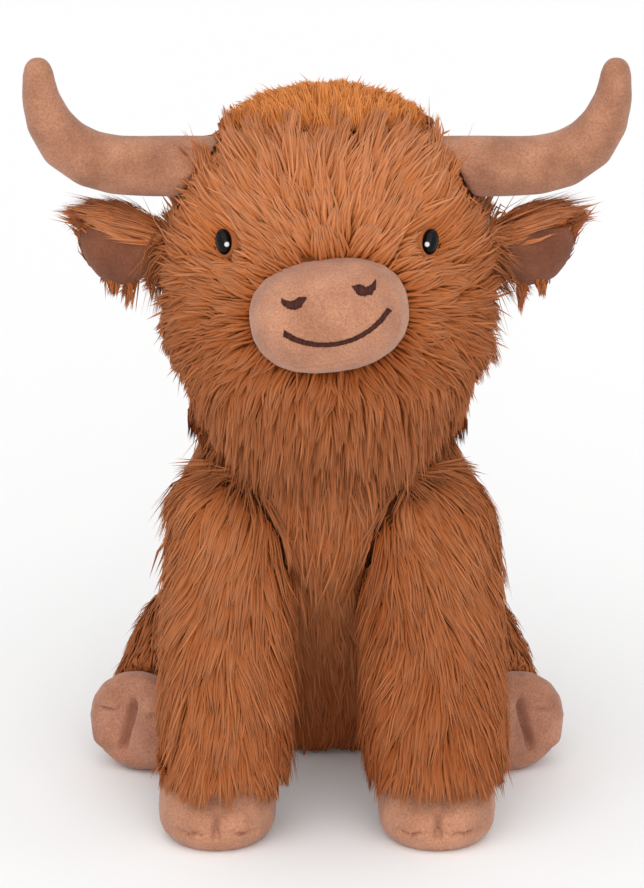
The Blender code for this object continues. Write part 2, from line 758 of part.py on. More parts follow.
def build_muzzle(pivot, place, outside):
    """Build the muzzle's velour, its filling, the nostrils and the smile."""
    form = muzzle_form(place)
    inner = form.plainer()
    hollow = put("cut_muzzle_hollow", inner.mesh(VELOUR_WALL, start_inset=-OVERRUN))
    skin = cut(put("muzzle", form.mesh(), velour()), hollow, outside)
    filling = cut(put("muzzle_stuffing", shrunk(inner.mesh(VELOUR_WALL)), fibre()), outside)
    under = put("cut_thread_under", form.mesh(-SEAM_GAP))
    over = put("cut_thread_over", form.mesh(-SEAM_GAP - THREAD_THICKNESS))
    thread = finish_of("brown_thread", BROWN, 0.8)
    pieces = [skin, filling]
    for name, outline in embroidery().items():
        front = place @ Matrix.Translation((0, 0, MUZZLE_PROUD))
        patch = put(name, prism(outline, front, 2 * MUZZLE_ROUND), thread)
        cut(patch, over, operation="INTERSECT")
        pieces.append(cut(patch, under))
    carry(pivot, *pieces)


def embroidery():
    """Return the outlines of the nostrils and the smile in the muzzle's own frame."""
    outlines = {}
    steps = 6
    for name, side in SIDES.items():
        middle = side * NOSTRIL_SPACING / 2
        bowl = [(math.cos(math.pi * i / steps), -math.sin(math.pi * i / steps)) for i in range(steps + 1)]
        outline = []
        for across, up in bowl + list(NOSTRIL_BROW_SHARES):
            corner = NOSTRIL_CORNER_SHARE * max(across, 0) ** NOSTRIL_CORNER_POWER_SHARE
            outline.append((middle + side * across * NOSTRIL_HALF_WIDTH,
                            NOSTRIL_RISE + (up + corner) * NOSTRIL_HEIGHT))
        outlines[f"nostril_{name}"] = outline
    count = 12
    spine = [2 * i / count - 1 for i in range(count + 1)]
    line = [(SMILE_HALF_WIDTH * share, SMILE_DEPTH * abs(share) ** SMILE_CURVE_SHARE - SMILE_DROP)
            for share in spine]
    widen = SMILE_LINE / (2 * SMILE_HALF_WIDTH)
    lower = [(across * (1 + widen), up - SMILE_LINE / 2) for across, up in line]
    upper = [(across * (1 - widen), up + SMILE_LINE / 2) for across, up in line]
    outlines["mouth"] = lower + upper[::-1]
    return outlines


def build_eye(pivot, name, side, form, head, filling):
    """Build a safety eye and its washer, and cut their seats."""
    place_up = EYE_RISE - HEAD_RIM_RISE
    across = side * EYE_SPACING / 2
    normal = form.front_normal(across, place_up)
    normal = normal if normal.y < 0 else -normal
    up = (Z - normal * normal.z).normalized()
    place = Matrix((up.cross(normal), up, normal)).transposed().to_4x4()
    base = EYE_PROUD - EYE_DOME - EYE_RIM
    place.translation = form.front_at(across, place_up) + normal * base
    washer_top = COAT_WALL + base + SEAM_GAP
    shank_end = washer_top + WASHER_THICKNESS + EYE_SHANK_TAIL

    def eye_profile(grow):
        dome = [(math.sin(math.pi / 2 * i / 4), math.cos(math.pi / 2 * i / 4)) for i in range(5)]
        rounded = [((EYE_HALF_WIDTH + grow) * out, EYE_RIM + (EYE_DOME + grow) * rise)
                   for out, rise in dome]
        rim = [(EYE_HALF_WIDTH + grow, -grow), (EYE_SHANK_RADIUS + grow, -grow)]
        return rounded + rim + [(EYE_SHANK_RADIUS + grow, -shank_end), (0.0, -shank_end)]

    def eye_mesh(grow):
        bm = turned(eye_profile(grow), Matrix.Identity(4), SMALL_SIDES)
        tall = EYE_HALF_HEIGHT / EYE_HALF_WIDTH
        wide = [vert for vert in bm.verts
                if vert.co.z > -2 * SEAM_GAP and vert.co.xy.length > EYE_SHANK_RADIUS + 2 * SEAM_GAP]
        bmesh.ops.scale(bm, vec=(1, tall, 1), verts=wide)
        bmesh.ops.transform(bm, matrix=place, verts=bm.verts)
        return bm

    def washer_profile(grow):
        inner = EYE_SHANK_RADIUS + (SEAM_GAP if not grow else -EYE_SHANK_RADIUS)
        low = -washer_top - WASHER_THICKNESS - (EYE_SHANK_TAIL if grow else 0.0) - grow
        return [(inner, grow - washer_top), (WASHER_RADIUS + grow, grow - washer_top),
                (WASHER_RADIUS + grow, low), (inner, low)]

    eye = put(f"eye_{name}", eye_mesh(0.0), finish_of("black_gloss", BLACK, 0.08))
    washer = put(f"eye_washer_{name}", turned(washer_profile(0.0), place, SMALL_SIDES),
                 finish_of("nylon_washer", NYLON, 0.5))
    eye_seat = put(f"cut_eye_{name}", eye_mesh(SEAM_GAP))
    washer_seat = put(f"cut_washer_{name}", turned(washer_profile(SEAM_GAP), place, SMALL_SIDES))
    cut(head, eye_seat, washer_seat)
    cut(filling, washer_seat)
    carry(pivot, eye, washer)


def horn_form(side):
    """Return a horn's form, from inside the head out and up to its tip."""
    stations = []
    for reach, lift, taper in HORN_SHARES:
        centre = Vector((side * HORN_REACH * reach, HORN_Y - HORN_FORWARD * max(lift, 0.0),
                         NECK_HEIGHT + HORN_RISE + HORN_LIFT * lift))
        radius = HORN_RADIUS + (HORN_TIP_RADIUS - HORN_RADIUS) * taper
        stations.append((centre, radius, radius))
    return Form(stations, across=Y, sides=LIMB_SIDES, rings=9, round_end=HORN_TIP_RADIUS)


def build_horn(pivot, name, side, outside):
    """Build a horn's velour skin and its filling, both seated on the head."""
    horn = horn_form(side)
    inner = horn.plainer()
    hollow = put(f"cut_horn_{name}", inner.mesh(VELOUR_WALL, start_inset=-OVERRUN / 4))
    skin = cut(put(f"horn_{name}", horn.mesh(), velour()), hollow, outside)
    filling_mesh = shrunk(inner.mesh(VELOUR_WALL, start_inset=0.0))
    filling = cut(put(f"horn_stuffing_{name}", filling_mesh, fibre()), outside)
    carry(pivot, skin, filling)


def ear_root(form, side):
    """Return the middle of an ear's root, on the side of the head."""
    place = EAR_RISE - HEAD_RIM_RISE
    half = form.half_sizes(place, 0.0, 0.0, form.length)[0]
    return Vector((side * (half - EAR_BALL_RADIUS / 4), EAR_Y, NECK_HEIGHT + EAR_RISE))


def build_ear(name, side, form):
    """Build an ear and its velour lining on the flop hinge."""
    root = ear_root(form, side)
    out = X * side
    stations = [(root - out * EAR_BALL_RADIUS, EAR_BALL_RADIUS, EAR_BALL_RADIUS),
                (root, EAR_BALL_RADIUS, EAR_BALL_RADIUS)]
    for along, height, thickness in EAR_SHARES:
        centre = root + out * (EAR_LENGTH * along) + Z * (EAR_TIP_LIFT * along ** 2)
        stations.append((centre, EAR_HALF_HEIGHT * height, EAR_HALF_THICKNESS * thickness))
    ear = Form(stations, across=Z, axis=out, rings=4, round_start=EAR_BALL_RADIUS, round_end=EAR_TIP_ROUND)
    heads = swept_room(f"ear_{name}", form, root, EAR_BALL_RADIUS, Y * side, EAR_FLOP_ANGLE, False)
    pile = cut(put(f"ear_{name}", ear.mesh(), coat()), *heads)
    panel_stations = []
    for share in (EAR_LINING_START_SHARE, (EAR_LINING_START_SHARE + EAR_LINING_END_SHARE) / 2,
                  EAR_LINING_END_SHARE):
        place = EAR_BALL_RADIUS + EAR_LENGTH * share
        panel_stations.append((ear.centre(place), EAR_HALF_HEIGHT * EAR_LINING_HEIGHT_SHARE,
                               EAR_HALF_THICKNESS + EAR_LINING_PROUD))
    round_length = EAR_LENGTH * EAR_LINING_ROUND_SHARE
    panel = Form(panel_stations, across=Z, axis=out, rings=1, round_start=round_length,
                 round_end=round_length, squareness=EAR_LINING_SQUARENESS_SHARE)
    back_half = put(f"cut_ear_back_{name}", block((-REACH, root.y, 0), (REACH, REACH, REACH * 2)))
    ear_outside = put(f"cut_ear_outside_{name}", ear.mesh(-SEAM_GAP))
    lining = put(f"ear_lining_{name}", panel.mesh(), finish_of("lining_velour", LINING_TAN, 0.9))
    cut(lining, back_half, ear_outside)
    pivot = hinge(f"ear_{name}_flop", root)
    carry(pivot, pile, lining)


def build_front_leg(name, side, torso):
    """Build a front leg's coat, filling and hoof on the shoulder hinge."""
    form = front_leg_form(side)
    top = shoulder(side)
    bodies = swept_room(f"leg_{name}", torso, top, SHOULDER_RADIUS, -X, FRONT_LEG_SWING_ANGLE, True)
    inner = form.plainer()
    hollow = put(f"cut_front_leg_{name}", inner.mesh(LEG_COAT_WALL, end_inset=-OVERRUN / 4))
    sleeve = put(f"cut_sleeve_{name}", rod(top, top + (Y + Z) * (SHOULDER_RADIUS + OVERRUN / 4),
                                           SLEEVE_HOLE_RADIUS, SMALL_SIDES))
    leg = cut(put(f"front_leg_{name}", form.mesh(), coat()), hollow, sleeve, *bodies)

    sole = Vector((side * FRONT_FOOT_SPACING / 2, FRONT_FOOT_Y, 0))
    hoof_shape = hoof_form(sole, Z, -Y)
    hoof_hollow = put(f"cut_front_hoof_{name}", hoof_shape.plainer().mesh(HOOF_WALL, end_inset=-OVERRUN / 4))
    toes = put(f"cut_front_cleft_{name}", cleft(sole, Z, -Y))
    hoof = cut(put(f"front_hoof_{name}", hoof_shape.mesh(), velour()), hoof_hollow, toes)

    filling_mesh = shrunk(inner.mesh(LEG_COAT_WALL, end_inset=0.0))
    filling = cut(put(f"front_leg_stuffing_{name}", filling_mesh, fibre()), *bodies)
    pivot = hinge(f"front_leg_{name}_swing", top)
    carry(pivot, leg, hoof, filling)


def hind_heading(side):
    """Return the direction from a hip to the middle of its sole."""
    return Vector((side * math.sin(HIND_LEG_SPLAY_ANGLE), -math.cos(HIND_LEG_SPLAY_ANGLE), 0))


def build_hind_leg(name, side):
    """Build a hind leg's coat, filling and hoof on the hip hinge, cut flat where it rests."""
    heading = hind_heading(side)
    hip = Vector((side * HIP_X, HIP_Y, hip_height()))
    ground = put(f"cut_ground_{name}", block((-REACH, -REACH, -OVERRUN), (REACH, REACH, 0)))
    reaches = sorted((0.0, side * (HIP_FACE_X + SEAM_GAP)))
    inner = put(f"cut_hip_face_{name}", block((reaches[0], -REACH, -OVERRUN), (reaches[1], REACH, REACH)))
    stations = [(hip - heading * HAUNCH_RADIUS, HAUNCH_HALF_WIDTH, HAUNCH_RADIUS),
                (hip, HAUNCH_HALF_WIDTH, HAUNCH_RADIUS)]
    for along, width, height in HIND_LEG_SHARES:
        half_height = HAUNCH_RADIUS * height
        centre = hip + heading * (HIND_LEG_LENGTH * along)
        centre.z = half_height - FLAT_DEPTH
        stations.append((centre, HAUNCH_HALF_WIDTH * width, half_height))
    form = Form(stations, across=Z.cross(heading), axis=heading, rings=5, round_start=HAUNCH_RADIUS)
    coarse = form.plainer()
    hollow = put(f"cut_hind_leg_{name}", coarse.mesh(LEG_COAT_WALL, end_inset=-OVERRUN / 4))
    leg = cut(put(f"hind_leg_{name}", form.mesh(), coat()), hollow, inner, ground)

    seam = hip + heading * (HIND_LEG_LENGTH + SEAM_GAP)
    seam.z = HOOF_HALF_DEPTH * HIND_HOOF_SHARE - FLAT_DEPTH
    sole = seam + heading * HIND_HOOF_HEIGHT
    hoof_shape = hoof_form(sole, -heading, Z, HIND_HOOF_SHARE, HIND_HOOF_HEIGHT)
    hoof_hollow = put(f"cut_hind_hoof_{name}", hoof_shape.plainer().mesh(HOOF_WALL, end_inset=-OVERRUN / 4))
    toes = put(f"cut_hind_cleft_{name}", cleft(sole, -heading, Z, HIND_HOOF_SHARE))
    hoof = cut(put(f"hind_hoof_{name}", hoof_shape.mesh(), velour()), hoof_hollow, toes, ground)

    filling_mesh = shrunk(coarse.mesh(LEG_COAT_WALL, end_inset=0.0))
    filling = cut(put(f"hind_leg_stuffing_{name}", filling_mesh, fibre()), inner)
    pivot = hinge(f"hind_leg_{name}_lift", hip)
    carry(pivot, leg, hoof, filling)


def build_tail(torso):
    """Build the tail and its tuft on the swing hinge at the back of the torso."""
    root = tail_root(torso)
    behind = root.y + TAIL_REACH
    knee = Vector((0, behind, root.z - TAIL_KNEE_DROP))
    end = Vector((0, behind, root.z - TAIL_LENGTH))
    stations = [(point, TAIL_RADIUS, TAIL_RADIUS)
                for point in (root - Y * (TAIL_BALL_RADIUS / 2), root, knee, end)]
    tail_form = Form(stations, across=X, sides=SMALL_SIDES, rings=6)
    tail = put("tail", tail_form.mesh(), coat())
    tuft_top = end - Z * SEAM_GAP
    tuft_stations = [(tuft_top - Z * (TAIL_TUFT_LENGTH * share),
                      TAIL_TUFT_HALF_WIDTH, TAIL_TUFT_HALF_DEPTH)
                     for share in TAIL_TUFT_SHARES]
    tuft_form = Form(tuft_stations, across=X, axis=-Z, sides=SMALL_SIDES, rings=2,
                     round_start=TAIL_TUFT_LENGTH * TAIL_TUFT_TOP_SHARE,
                     round_end=TAIL_TUFT_LENGTH * TAIL_TUFT_TIP_SHARE)
    tuft = put("tail_tuft", tuft_form.mesh(), finish_of("crown_pile", CROWN_RUST, 0.95))
    pivot = hinge("tail_swing", root)
    carry(pivot, tail, tuft)


def main():
    clear_scene()
    torso = torso_form()
    head = head_form()
    build_torso(torso)
    build_head(head, muzzle_place(head))
    for name, side in SIDES.items():
        build_ear(name, side, head)
        build_front_leg(name, side, torso)
        build_hind_leg(name, side)
    build_tail(torso)
    bpy.context.view_layer.update()


main()
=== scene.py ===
"""Seated plush highland cow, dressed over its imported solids.

Every coat is grown as locks of pile: closed, three-sided blades that follow a field of directions
over the coat's own solid and lean together in tufts. The velour pieces are stuffed forms smoothed
from their solids, with their folds, puckers and stitches shaped in. Lengths are in metres, the toy
faces -Y and its own left is +X.
"""

import logging
import math
from dataclasses import dataclass
from enum import Enum

import bmesh
import bpy
import numpy as np
from mathutils import Matrix, Vector, noise
from mathutils.bvhtree import BVHTree
from mathutils.kdtree import KDTree


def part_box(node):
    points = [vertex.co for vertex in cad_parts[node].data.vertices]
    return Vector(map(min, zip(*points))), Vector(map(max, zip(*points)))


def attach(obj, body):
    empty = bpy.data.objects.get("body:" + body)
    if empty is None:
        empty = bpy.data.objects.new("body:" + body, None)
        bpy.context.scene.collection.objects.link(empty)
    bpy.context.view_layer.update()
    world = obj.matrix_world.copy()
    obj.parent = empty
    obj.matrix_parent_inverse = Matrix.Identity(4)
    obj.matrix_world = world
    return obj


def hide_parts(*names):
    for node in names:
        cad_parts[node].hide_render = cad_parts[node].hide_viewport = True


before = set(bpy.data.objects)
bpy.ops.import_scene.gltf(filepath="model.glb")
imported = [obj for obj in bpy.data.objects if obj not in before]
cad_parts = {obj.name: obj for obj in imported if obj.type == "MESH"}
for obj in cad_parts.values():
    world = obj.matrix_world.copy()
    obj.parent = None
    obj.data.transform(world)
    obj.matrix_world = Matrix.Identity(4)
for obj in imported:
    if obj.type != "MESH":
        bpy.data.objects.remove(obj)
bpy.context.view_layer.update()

log = logging.getLogger("plush_cow")

Pair = tuple[float, float]
Triple = tuple[float, float, float]
Colour = Triple

X = Vector((1, 0, 0))
Y = Vector((0, 1, 0))
Z = Vector((0, 0, 1))
DOWN = np.array((0.0, 0.0, -1.0))
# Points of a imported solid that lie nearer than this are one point
MERGE = 0.00002
# More locks than this in one piece would take it near 200,000 triangles
LOCK_LIMIT = 12000


class Side(Enum):
    """The toy's own two sides."""

    LEFT = 1
    RIGHT = -1

    @property
    def label(self) -> str:
        """The side's name in the names of nodes and bodies."""
        return self.name.lower()


class Slot(str, Enum):
    """The record's material slots."""

    COAT = "long_pile_coat"
    CROWN = "crown_pile"
    VELOUR = "tan_velour"
    LINING = "lining_velour"
    THREAD = "brown_thread"
    GLOSS = "black_gloss"
    WASHER = "nylon_washer"
    FIBRE = "fibre_filling"
    BAG = "bag_cloth"
    BASE = "base_cloth"


class Shading:
    """A material's node tree, built one node at a time."""

    def __init__(self, name: str, roughness: float, sheen: float = 0.0) -> None:
        """Start a Principled material.

        Args:
            name: the material's name.
            roughness: the surface's roughness.
            sheen: the weight of the soft edge light that cloth has.
        """
        self.material = bpy.data.materials.new(name)
        self.material.use_nodes = True
        self.tree = self.material.node_tree
        self.surface = self.tree.nodes["Principled BSDF"]
        self.surface.inputs["Roughness"].default_value = roughness
        self.surface.inputs["Sheen Weight"].default_value = sheen

    def node(self, kind: str, **values: object) -> bpy.types.Node:
        """Add a node.

        Args:
            kind: the node's type, without its ShaderNode prefix.
            values: attributes of the node, or the defaults of its inputs by name.

        Returns:
            The new node.
        """
        made = self.tree.nodes.new("ShaderNode" + kind)
        for key, value in values.items():
            if hasattr(made, key):
                setattr(made, key, value)
            else:
                made.inputs[key.replace("_", " ")].default_value = value
        return made

    def link(self, start: bpy.types.NodeSocket, end: bpy.types.NodeSocket) -> None:
        """Join two sockets."""
        self.tree.links.new(start, end)

    def ramp(self, value: bpy.types.NodeSocket, *stops: tuple[float, Colour]) -> bpy.types.NodeSocket:
        """Colour a value.

        Args:
            value: the socket that is read.
            stops: places and their colours.

        Returns:
            The colour socket.
        """
        made = self.node("ValToRGB")
        elements = made.color_ramp.elements
        while len(elements) < len(stops):
            elements.new(0.5)
        for element, (place, colour) in zip(elements, stops):
            element.position = place
            element.color = (*colour, 1.0)
        self.link(value, made.inputs["Fac"])
        return made.outputs["Color"]

    def mix(self, mode: str, share: object, first: object, second: object) -> bpy.types.NodeSocket:
        """Mix two colours.

        Args:
            mode: the blend type, such as MULTIPLY.
            share: a number, or the socket that gives it.
            first: a colour, or the socket that gives it.
            second: the same for the second colour.

        Returns:
            The mixed colour's socket.
        """
        made = self.node("Mix", data_type="RGBA", blend_type=mode)
        for index, value in ((0, share), (6, first), (7, second)):
            if isinstance(value, bpy.types.NodeSocket):
                self.link(value, made.inputs[index])
            else:
                made.inputs[index].default_value = value if index == 0 else (*value, 1.0)
        return made.outputs[2]

    def noise(self, scale: float, detail: float = 3.0) -> bpy.types.NodeSocket:
        """Read noise at the piece's own Object coordinates.

        Args:
            scale: grains to the metre.
            detail: octaves.

        Returns:
            The noise value's socket.
        """
        made = self.node("TexNoise", Scale=scale, Detail=detail)
        self.link(self.node("TexCoord").outputs["Object"], made.inputs["Vector"])
        return made.outputs["Fac"]

    def bump(self, height: bpy.types.NodeSocket, distance: float, strength: float) -> None:
        """Raise the surface by a value.

        Args:
            height: the value's socket.
            distance: how high a value of one stands.
            strength: how strong the bump is.
        """
        made = self.node("Bump", Distance=distance, Strength=strength)
        self.link(height, made.inputs["Height"])
        self.link(made.outputs["Normal"], self.surface.inputs["Normal"])

    def colour(self, socket: bpy.types.NodeSocket) -> None:
        """Send a colour to the surface."""
        self.link(socket, self.surface.inputs["Base Color"])


@dataclass(frozen=True)
class PileFinish:
    """Long pile, coloured along each lock by its own UV map: u is its tint and v runs to its tip. Towards the
    root it is darker, as painted shade between the locks; its tint runs from shade to glow and carries painted
    light and shade by region as well as its own tone.
    """

    name: str
    slot: Slot
    root: Colour
    body: Colour
    tip: Colour
    shade: Colour = (0.62, 0.47, 0.36)
    plain: Colour = (1.0, 1.0, 1.0)
    glow: Colour = (1.62, 1.85, 2.15)
    middle_place: float = 0.45
    roughness: float = 0.65
    shine: float = 0.04

    def material(self) -> bpy.types.Material:
        """Build the pile's material."""
        made = Shading(self.name, self.roughness)
        made.surface.inputs["Specular IOR Level"].default_value = self.shine
        map_node = made.node("UVMap", uv_map="OFBake")
        parts = made.node("SeparateXYZ")
        made.link(map_node.outputs["UV"], parts.inputs[0])
        middle = self.middle_place
        # Darker towards the root: painted shade between the locks
        along = made.ramp(parts.outputs["Y"], (0.0, self.root), (middle, self.body), (1.0, self.tip))
        # The tint's shade and glow ends carry painted shade and painted light by region, and random tone
        tint = made.ramp(parts.outputs["X"], (0.0, self.shade), (middle, self.plain), (1.0, self.glow))
        made.colour(made.mix("MULTIPLY", 1.0, along, tint))
        return made.material


@dataclass(frozen=True)
class ClothFinish:
    """Backing cloth below the pile, or a plain woven or felted cloth."""

    name: str
    slot: Slot
    light: Colour
    dark: Colour
    grain: float = 700.0
    places: Pair = (0.3, 0.7)
    bump: Pair = (0.0006, 0.6)
    roughness: float = 0.95

    def material(self) -> bpy.types.Material:
        """Build the cloth's material."""
        made = Shading(self.name, self.roughness)
        grain = made.noise(self.grain)
        made.colour(made.ramp(grain, *zip(self.places, (self.dark, self.light))))
        made.bump(grain, *self.bump)
        return made.material


@dataclass(frozen=True)
class VelourFinish:
    """Short soft pile: a mottled nap, brushed lighter and darker, with a fine grain."""

    name: str
    slot: Slot
    light: Colour
    middle: Colour
    dark: Colour
    brush_scale: float = 55.0
    brush_places: Triple = (0.30, 0.52, 0.74)
    grain_scale: float = 950.0
    grain_places: Pair = (0.30, 0.70)
    grain_dark: Colour = (0.74, 0.70, 0.67)
    grain_light: Colour = (1.14, 1.15, 1.16)
    grain_share: float = 0.9
    bump: Pair = (0.0007, 0.55)
    roughness: float = 0.9
    sheen: float = 0.18

    def material(self) -> bpy.types.Material:
        """Build the velour's material."""
        made = Shading(self.name, self.roughness, self.sheen)
        brushed, grain = made.noise(self.brush_scale), made.noise(self.grain_scale)
        broad = made.ramp(brushed, *zip(self.brush_places, (self.dark, self.middle, self.light)))
        fine = made.ramp(grain, *zip(self.grain_places, (self.grain_dark, self.grain_light)))
        made.colour(made.mix("MULTIPLY", self.grain_share, broad, fine))
        made.bump(grain, *self.bump)
        return made.material


@dataclass(frozen=True)
class EyeFinish:
    """Polished black, with a soft pale glint painted on each eye: a painted highlight in its base colour."""

    name: str
    slot: Slot
    # Where the painted highlight sits, in the eye's own coordinates
    glint: Triple
    size: float = 0.0019
    edge: Pair = (0.25, 0.55)
    black: Colour = (0.004, 0.003, 0.003)
    pale: Colour = (0.72, 0.71, 0.70)
    roughness: float = 0.07
    shine: float = 0.12

    def material(self) -> bpy.types.Material:
        """Build the eye's material."""
        made = Shading(self.name, self.roughness)
        made.surface.inputs["Specular IOR Level"].default_value = self.shine
        # Painted highlight: a pale spot at a fixed place on the eye, ramped into the black base colour
        place = made.node("Mapping")
        place.inputs["Location"].default_value = [-part / self.size for part in self.glint]
        place.inputs["Scale"].default_value = [1 / self.size] * 3
        made.link(made.node("TexCoord").outputs["Object"], place.inputs["Vector"])
        ball = made.node("TexGradient", gradient_type="SPHERICAL")
        made.link(place.outputs["Vector"], ball.inputs["Vector"])
        made.colour(made.ramp(ball.outputs["Fac"], *zip(self.edge, (self.black, self.pale))))
        return made.material


@dataclass(frozen=True)
class MouldedFinish:
    """Plain moulded plastic, with the faint marks of handling."""

    name: str
    slot: Slot
    colour: Colour
    edge: Colour
    roughness: float = 0.5
    marks_scale: float = 160.0
    marks_detail: float = 2.0
    places: Pair = (0.35, 0.75)

    def material(self) -> bpy.types.Material:
        """Build the plastic's material."""
        made = Shading(self.name, self.roughness)
        marks = made.noise(self.marks_scale, self.marks_detail)
        made.colour(made.ramp(marks, *zip(self.places, (self.colour, self.edge))))
        return made.material


# Each pile's root colour is darker than its body: painted shade between the locks
RUST_PILE = PileFinish("rust_pile", Slot.COAT, (0.376, 0.098, 0.022), (0.395, 0.126, 0.042),
                       (0.425, 0.165, 0.073))
CROWN_PILE = PileFinish("crown_pile_locks", Slot.CROWN, (0.39, 0.106, 0.022), (0.52, 0.163, 0.038),
                        (0.615, 0.228, 0.069))
RUST_BACKING = ClothFinish("rust_backing", Slot.COAT, (0.37, 0.103, 0.024), (0.29, 0.074, 0.016))
CROWN_BACKING = ClothFinish("crown_backing", Slot.CROWN, (0.34, 0.095, 0.020), (0.26, 0.066, 0.012))
TAN_VELOUR = VelourFinish("tan_velour_nap", Slot.VELOUR, (0.53, 0.250, 0.143), (0.44, 0.197, 0.111),
                          (0.35, 0.149, 0.080))
HORN_VELOUR = VelourFinish("horn_velour_nap", Slot.VELOUR, (0.49, 0.228, 0.132), (0.39, 0.174, 0.097),
                           (0.29, 0.120, 0.063))
SOLE_VELOUR = VelourFinish("sole_velour_nap", Slot.VELOUR, (0.48, 0.215, 0.130), (0.40, 0.172, 0.102),
                           (0.31, 0.125, 0.070))
LINING_VELOUR = VelourFinish("lining_velour_nap", Slot.LINING, (0.235, 0.078, 0.033), (0.18, 0.055, 0.022),
                             (0.130, 0.037, 0.014), sheen=0.12)
BROWN_THREAD = PileFinish("brown_thread_twist", Slot.THREAD, (0.034, 0.009, 0.006), (0.058, 0.015, 0.010),
                          (0.034, 0.009, 0.006), roughness=0.7, shine=0.15)
WASHER_NYLON = MouldedFinish("washer_nylon", Slot.WASHER, (0.74, 0.74, 0.72), (0.80, 0.80, 0.78))
FIBRE = ClothFinish("fibre_wadding", Slot.FIBRE, (0.90, 0.89, 0.86), (0.78, 0.77, 0.74), 350.0)
BAG_CLOTH = ClothFinish("bag_cloth_weave", Slot.BAG, (0.46, 0.25, 0.13), (0.34, 0.17, 0.08), 1200.0)
BASE_CLOTH = ClothFinish("base_cloth_weave", Slot.BASE, (0.36, 0.15, 0.06), (0.25, 0.09, 0.035), 1200.0)

Finish = PileFinish | ClothFinish | VelourFinish | EyeFinish | MouldedFinish
_materials: dict[str, bpy.types.Material] = {}


def dress(piece: bpy.types.Object, finish: Finish) -> bpy.types.Object:
    """Give a piece its finish.

    Args:
        piece: the object.
        finish: one of the finishes above.

    Returns:
        The same object.
    """
    if finish.name not in _materials:
        _materials[finish.name] = finish.material()
    piece.data.materials.clear()
    piece.data.materials.append(_materials[finish.name])
    return piece


def placed(name: str, data: bpy.types.ID) -> bpy.types.Object:
    """Return a new object of some data, which stands in the scene."""
    made = bpy.data.objects.new(name, data)
    bpy.context.scene.collection.objects.link(made)
    return made


def carried(piece: bpy.types.Object, finish: Finish, body: str) -> bpy.types.Object:
    """Dress a piece and let it ride on its body."""
    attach(dress(piece, finish), body)
    return piece


def new_piece(name: str, bm: bmesh.types.BMesh, finish: Finish, body: str) -> bpy.types.Object:
    """Make an object of a mesh, dress it and let it ride on its body.

    Args:
        name: the object's name.
        bm: the mesh, which is freed.
        finish: the finish.
        body: the body that carries it.

    Returns:
        The new object.
    """
    mesh = bpy.data.meshes.new(name)
    bm.to_mesh(mesh)
    bm.free()
    mesh.shade_smooth()
    return carried(placed(name, mesh), finish, body)


@dataclass(frozen=True)
class Rise:
    """A smooth rise from 0 at one value to 1 at another, which may be the smaller of the two."""

    start: float
    stop: float

    def __call__(self, values: np.ndarray) -> np.ndarray:
        """Return how far each value has risen."""
        share = np.clip((values - self.start) / (self.stop - self.start), 0, 1)
        return share * share * (3 - 2 * share)


def ridge(values: np.ndarray, width: float) -> np.ndarray:
    """Return a smooth ridge of height one, about the given width across."""
    return np.exp(-(values / width) ** 2)


def noise_at(places: np.ndarray, scale: float, shift: Triple = (0, 0, 0)) -> np.ndarray:
    """Return the noise at each place, times the scale and moved by the shift."""
    return np.array([noise.noise(Vector(place) * scale + Vector(shift)) for place in places])


def unit(vectors: np.ndarray) -> np.ndarray:
    """Return each vector at length one."""
    return vectors / np.maximum(np.linalg.norm(vectors, axis=-1, keepdims=True), 1e-9)


def along_surface(vectors: np.ndarray, normals: np.ndarray) -> np.ndarray:
    """Return the part of each vector that lies along the surface, at length one."""
    return unit(vectors - normals * np.sum(vectors * normals, axis=1, keepdims=True))


def centre_of(node: str) -> np.ndarray:
    """Return the middle of a node's box."""
    low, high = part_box(node)
    return np.array((low + high) / 2)


def points_and_normals(bm: bmesh.types.BMesh) -> tuple[np.ndarray, np.ndarray]:
    """Return each point of a mesh and the normal there."""
    return np.array([vert.co for vert in bm.verts]), np.array([vert.normal for vert in bm.verts])


def tree_of(places: list[Vector] | np.ndarray) -> KDTree:
    """Return a search tree over some places."""
    tree = KDTree(len(places))
    for index, place in enumerate(places):
        tree.insert(Vector(place), index)
    tree.balance()
    return tree


def merged_copy(node: str) -> bmesh.types.BMesh:
    """Return a copy of a node's mesh with its loose triangles merged."""
    bm = bmesh.new()
    bm.from_mesh(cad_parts[node].data)
    bmesh.ops.remove_doubles(bm, verts=bm.verts, dist=MERGE)
    bm.normal_update()
    return bm


def whole_toy() -> BVHTree:
    """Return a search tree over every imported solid, to tell what lies under what."""
    verts: list[Vector] = []
    faces: list[list[int]] = []
    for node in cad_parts.values():
        first = len(verts)
        verts += [vert.co.copy() for vert in node.data.vertices]
        faces += [[first + index for index in face.vertices] for face in node.data.polygons]
    return BVHTree.FromPolygons(verts, faces)


TOY = whole_toy()


